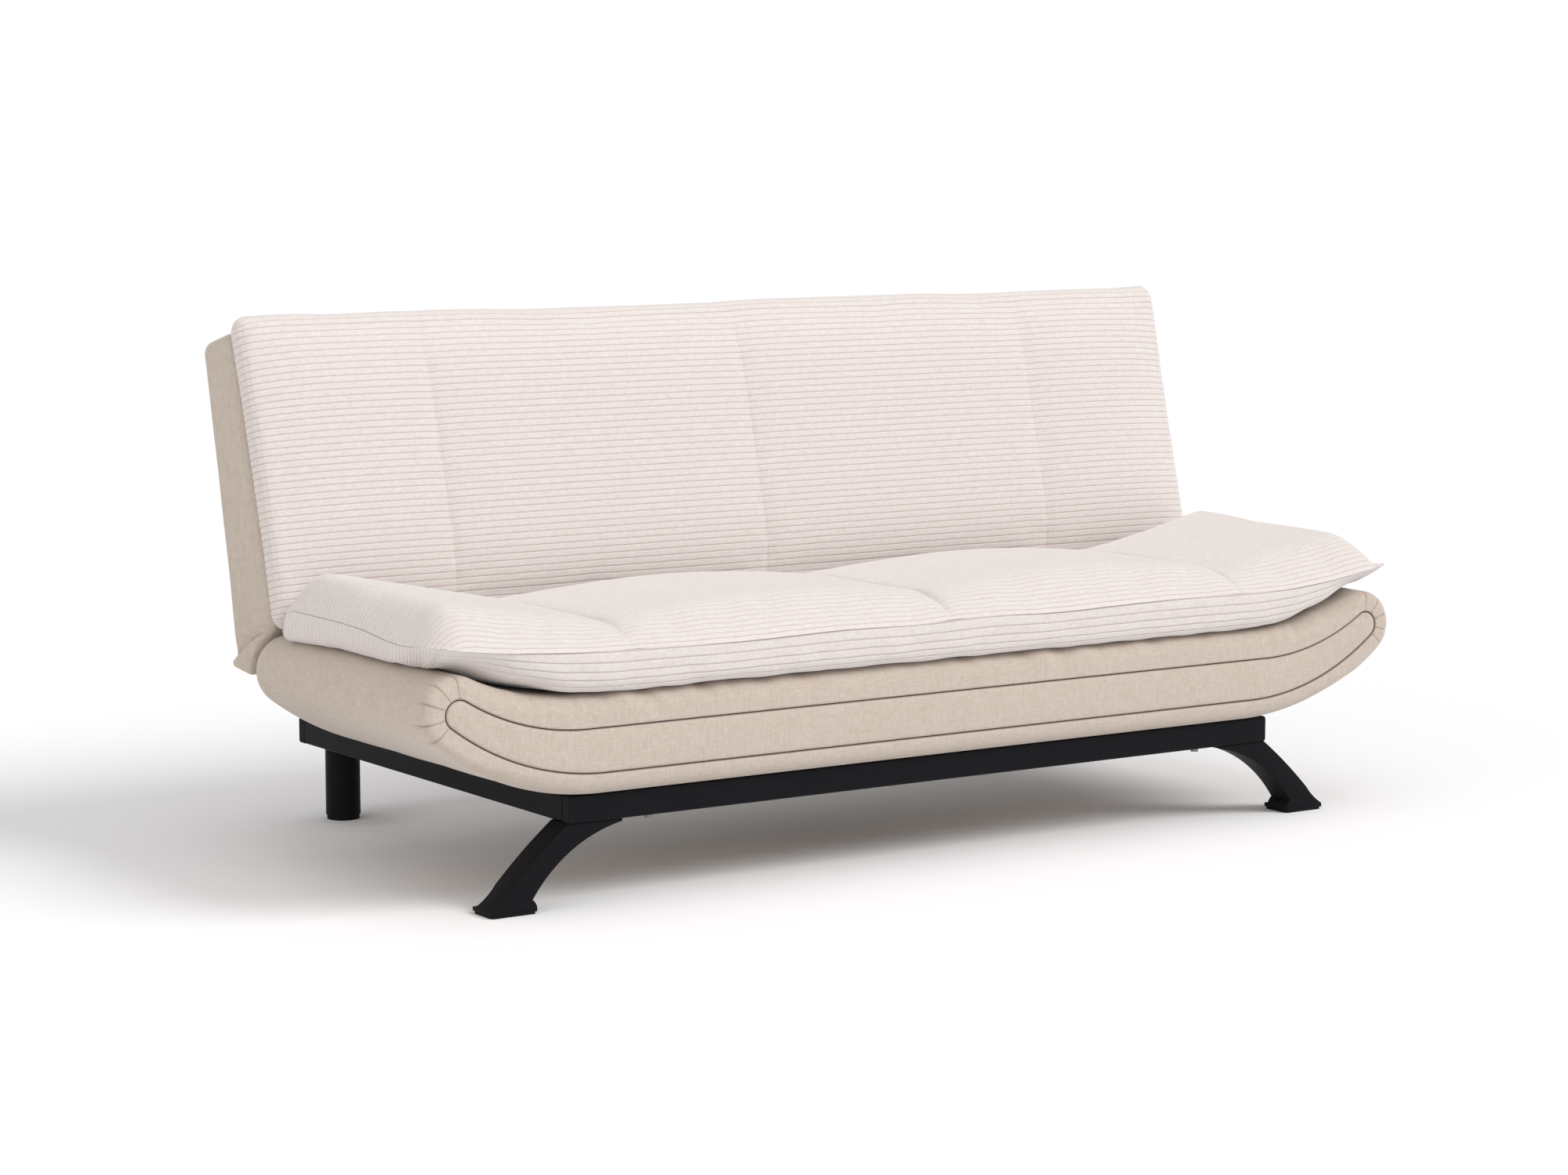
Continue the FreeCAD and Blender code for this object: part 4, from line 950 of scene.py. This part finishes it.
def topper_cover(along, across):
    """Place of the topper's cover at flat coordinates in mm: front panel, wrapped back to the shell."""
    a, b = np.meshgrid(along, across, indexing="ij")
    x, u, run, toward_x, toward_u = round_corner(a, b, topper_half_x, topper_half_u)
    turn = np.minimum(run / topper_round, math.pi / 2)
    past = np.maximum(run - topper_round * math.pi / 2, 0.0)
    out = topper_round * np.sin(turn) - 11.0 * (past / topper_tuck) ** 2
    back = topper_round * (1 - np.cos(turn)) + past
    across_share = np.clip(np.abs(b) / topper_half_u, 0, 1)
    nearest = np.min([np.abs(a - line) for line in topper_channels], 0)
    full = np.sin(np.minimum(nearest / 150, 1) * math.pi / 2)
    end = np.clip((np.abs(a) - channel_x) / (topper_half_x - channel_x), 0, 1) ** 4
    crown = (topper_crown + topper_puff * full ** 0.7) * (1 - end) * (1 - across_share ** 5)
    draw = 1.5 * (1 - full ** 0.6) * (1 - end) * across_share ** 5
    droop = topper_droop * np.exp(-(topper_reach_x - np.abs(a)) / 55) * np.exp(-((b - 165) / 90) ** 2)
    x = (x + toward_x * out) * (1 + topper_flare * b / topper_half_u)
    wave = 1.8 * np.sin(a / 167 + np.sin(a / 71)) * np.clip(b / topper_half_u, 0, 1) ** 3
    u = u + toward_u * out - np.sign(b) * draw - droop + wave
    v = topper_base - (topper_edge - back) * (topper_edge + crown) / topper_edge
    return on_back(x, topper_middle_u + u, np.minimum(v, topper_base))


along = stops(-topper_reach_x, topper_reach_x, coarse_along)
across = stops(-topper_reach_u, topper_reach_u, coarse_across)
grid = topper_cover(along, across)
pins = np.zeros(grid.shape[:2])
for line in topper_channels:
    pins[np.argmin(np.abs(along - line)), 5:-5] = channel_hold
pins[[0, 1, -2, -1], :] = 1.0
pins[:, [0, 1, -2, -1]] = 1.0
grid = settled(grid, pins, pressure=1.0, cap=3.0, spare=0.008)
seam_x = topper_half_x + topper_seam
seam_u = topper_half_u + topper_seam
sewn_lines = (-seam_x, *topper_channels, seam_x)
fine_along = stops(-topper_reach_x, topper_reach_x, cover_along, sewn_lines, reach=18.0)
fine_across = wale_rows(-topper_reach_u, topper_reach_u)
grid = refined(grid, along, across, fine_along, fine_across)
inward = on_back(0.0, 0.0, 1.0) - on_back(0.0, 0.0, 0.0)
from_top = topper_half_u - fine_across
for line in topper_channels:
    bent = line - 17.0 * np.exp(-np.maximum(from_top, 0) / 26)
    begun = np.clip((from_top - 8) / 60, 0, 1)
    beside = fine_along[:, None] - bent[None, :]
    ripple = 0.5 * np.sin(fine_across / 9.0 + 2 * np.sin(fine_across / 31))[None, :]
    pucker = ripple * np.exp(-(beside / 13) ** 2)
    sewn = (1.5 * np.exp(-(beside / 3.2) ** 2) + np.exp(-(beside / 11) ** 2) + pucker) * begun[None, :]
    grid += sewn[:, :, None] * inward
off_x = np.abs(fine_along)[:, None] - seam_x
off_u = np.abs(fine_across)[None, :] - seam_u
seam = np.maximum(np.exp(-(off_x / 1.8) ** 2) * (off_u < 0), np.exp(-(off_u / 2.2) ** 2) * (off_x < 0))
grid += 1.4 * seam[:, :, None] * inward
points, faces = closed_sheet(grid)
topper = ribbed("back_topper_cover", points, faces, flat_places(fine_along, fine_across), depth=1.4)
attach(topper, "backrest")
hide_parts("back_topper")

# Fold of cover cloth: a strip of the same corduroy sewn to the rear of the mattress and to the lower
# edge of the topper. It lies folded while the back is up and spans the gap when the back is down.
fold_high = 404.0
fold_floor = 370.0
fold_path = np.array([(mattress_rear, fold_high), (mattress_rear, 388.0), (43.0, 376.0), (50.0, 370.5),
                      (62.0, fold_floor), (75.0, 370.5), (83.0, 376.0), (85.5, 386.0), (86.0, 392.0)])
length = np.concatenate([[0], np.cumsum(np.linalg.norm(np.diff(fold_path, axis=0), axis=1))])
fold_across = np.linspace(0, length[-1], 60)
fold_y = np.interp(fold_across, length, fold_path[:, 0])
fold_z = np.interp(fold_across, length, fold_path[:, 1])
fold_along = np.linspace(-928.0, 928.0, 140)
fold_top = fold_high + 16.0 * wing_share(fold_along)
fold_low = np.maximum(fold_floor, border_top(fold_along) + 4.0)
fold_share = (fold_z - fold_floor) / (fold_high - fold_floor)
fold_rise = (fold_top - fold_low)[:, None] * fold_share[None, :] + fold_low[:, None]
grid = np.stack(np.broadcast_arrays(fold_along[:, None], fold_y[None, :], fold_rise), 2)
faces = grid_faces(*grid.shape[:2])
cloth = np.stack(np.meshgrid(fold_along, fold_across, indexing="ij"), 2).reshape(-1, 2)
fold = skin("mattress_fold_cloth", grid.reshape(-1, 3), faces, corduroy, cloth=cloth)
ply = fold.modifiers.new("thickness", "SOLIDIFY")
ply.thickness = 0.0025
ply.offset = 0.0
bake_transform(fold)
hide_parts("mattress_fold")

# Stage: a plain pale floor that runs out of view, and white surroundings that fill the shadows. Three
# soft lamps: the key from the right front, one from above and a warm fill from the left.
floor_mesh = bpy.data.meshes.new("floor")
floor_mesh.from_pydata([(-30, -30, 0), (30, -30, 0), (30, 30, 0), (-30, 30, 0)], [], [(0, 1, 2, 3)])
floor = placed("floor", floor_mesh)
paper = new_finish("white_paper", Roughness=0.9, Base_Color=linear("#F8F8F9"), Specular_IOR_Level=0.1)[0]
floor_mesh.materials.append(paper)
world = bpy.data.worlds.new("studio")
bpy.context.scene.world = world
world.use_nodes = True
around = world.node_tree
sky = around.nodes["Background"]
sky.inputs["Color"].default_value = (1, 1, 1, 1)
ray = add(around, "ShaderNodeLightPath")
glow = add(around, "ShaderNodeMapRange", {"To Min": 0.49, "To Max": 1.04}, {"Value": (ray, "Is Camera Ray")})
around.links.new(glow.outputs[0], sky.inputs["Strength"])
white = (1.0, 1.0, 1.0)
lamps = (("key", 1.84, white, 28, (52, 0, 37)), ("top", 0.65, white, 60, (14, -14, 0)),
         ("fill", 0.6, (1.0, 0.9, 0.81), 60, (75, 0, -79)))
for name, energy, colour, softness, angles in lamps:
    lamp = bpy.data.lights.new(name, "SUN")
    lamp.energy = energy
    lamp.color = colour
    lamp.angle = math.radians(softness)
    stand = placed(name, lamp)
    stand.rotation_euler = [math.radians(angle) for angle in angles]
camera = placed("camera", bpy.data.cameras.new("camera"))
camera.data.sensor_width = 36.0
camera.data.lens = 88.49
camera.location = (-3.724, -5.5675, 1.263)
camera.rotation_euler = (math.radians(82.77), 0.0, math.radians(-33.68))
bpy.context.scene.camera = camera
bpy.context.scene.view_settings.view_transform = "Standard"
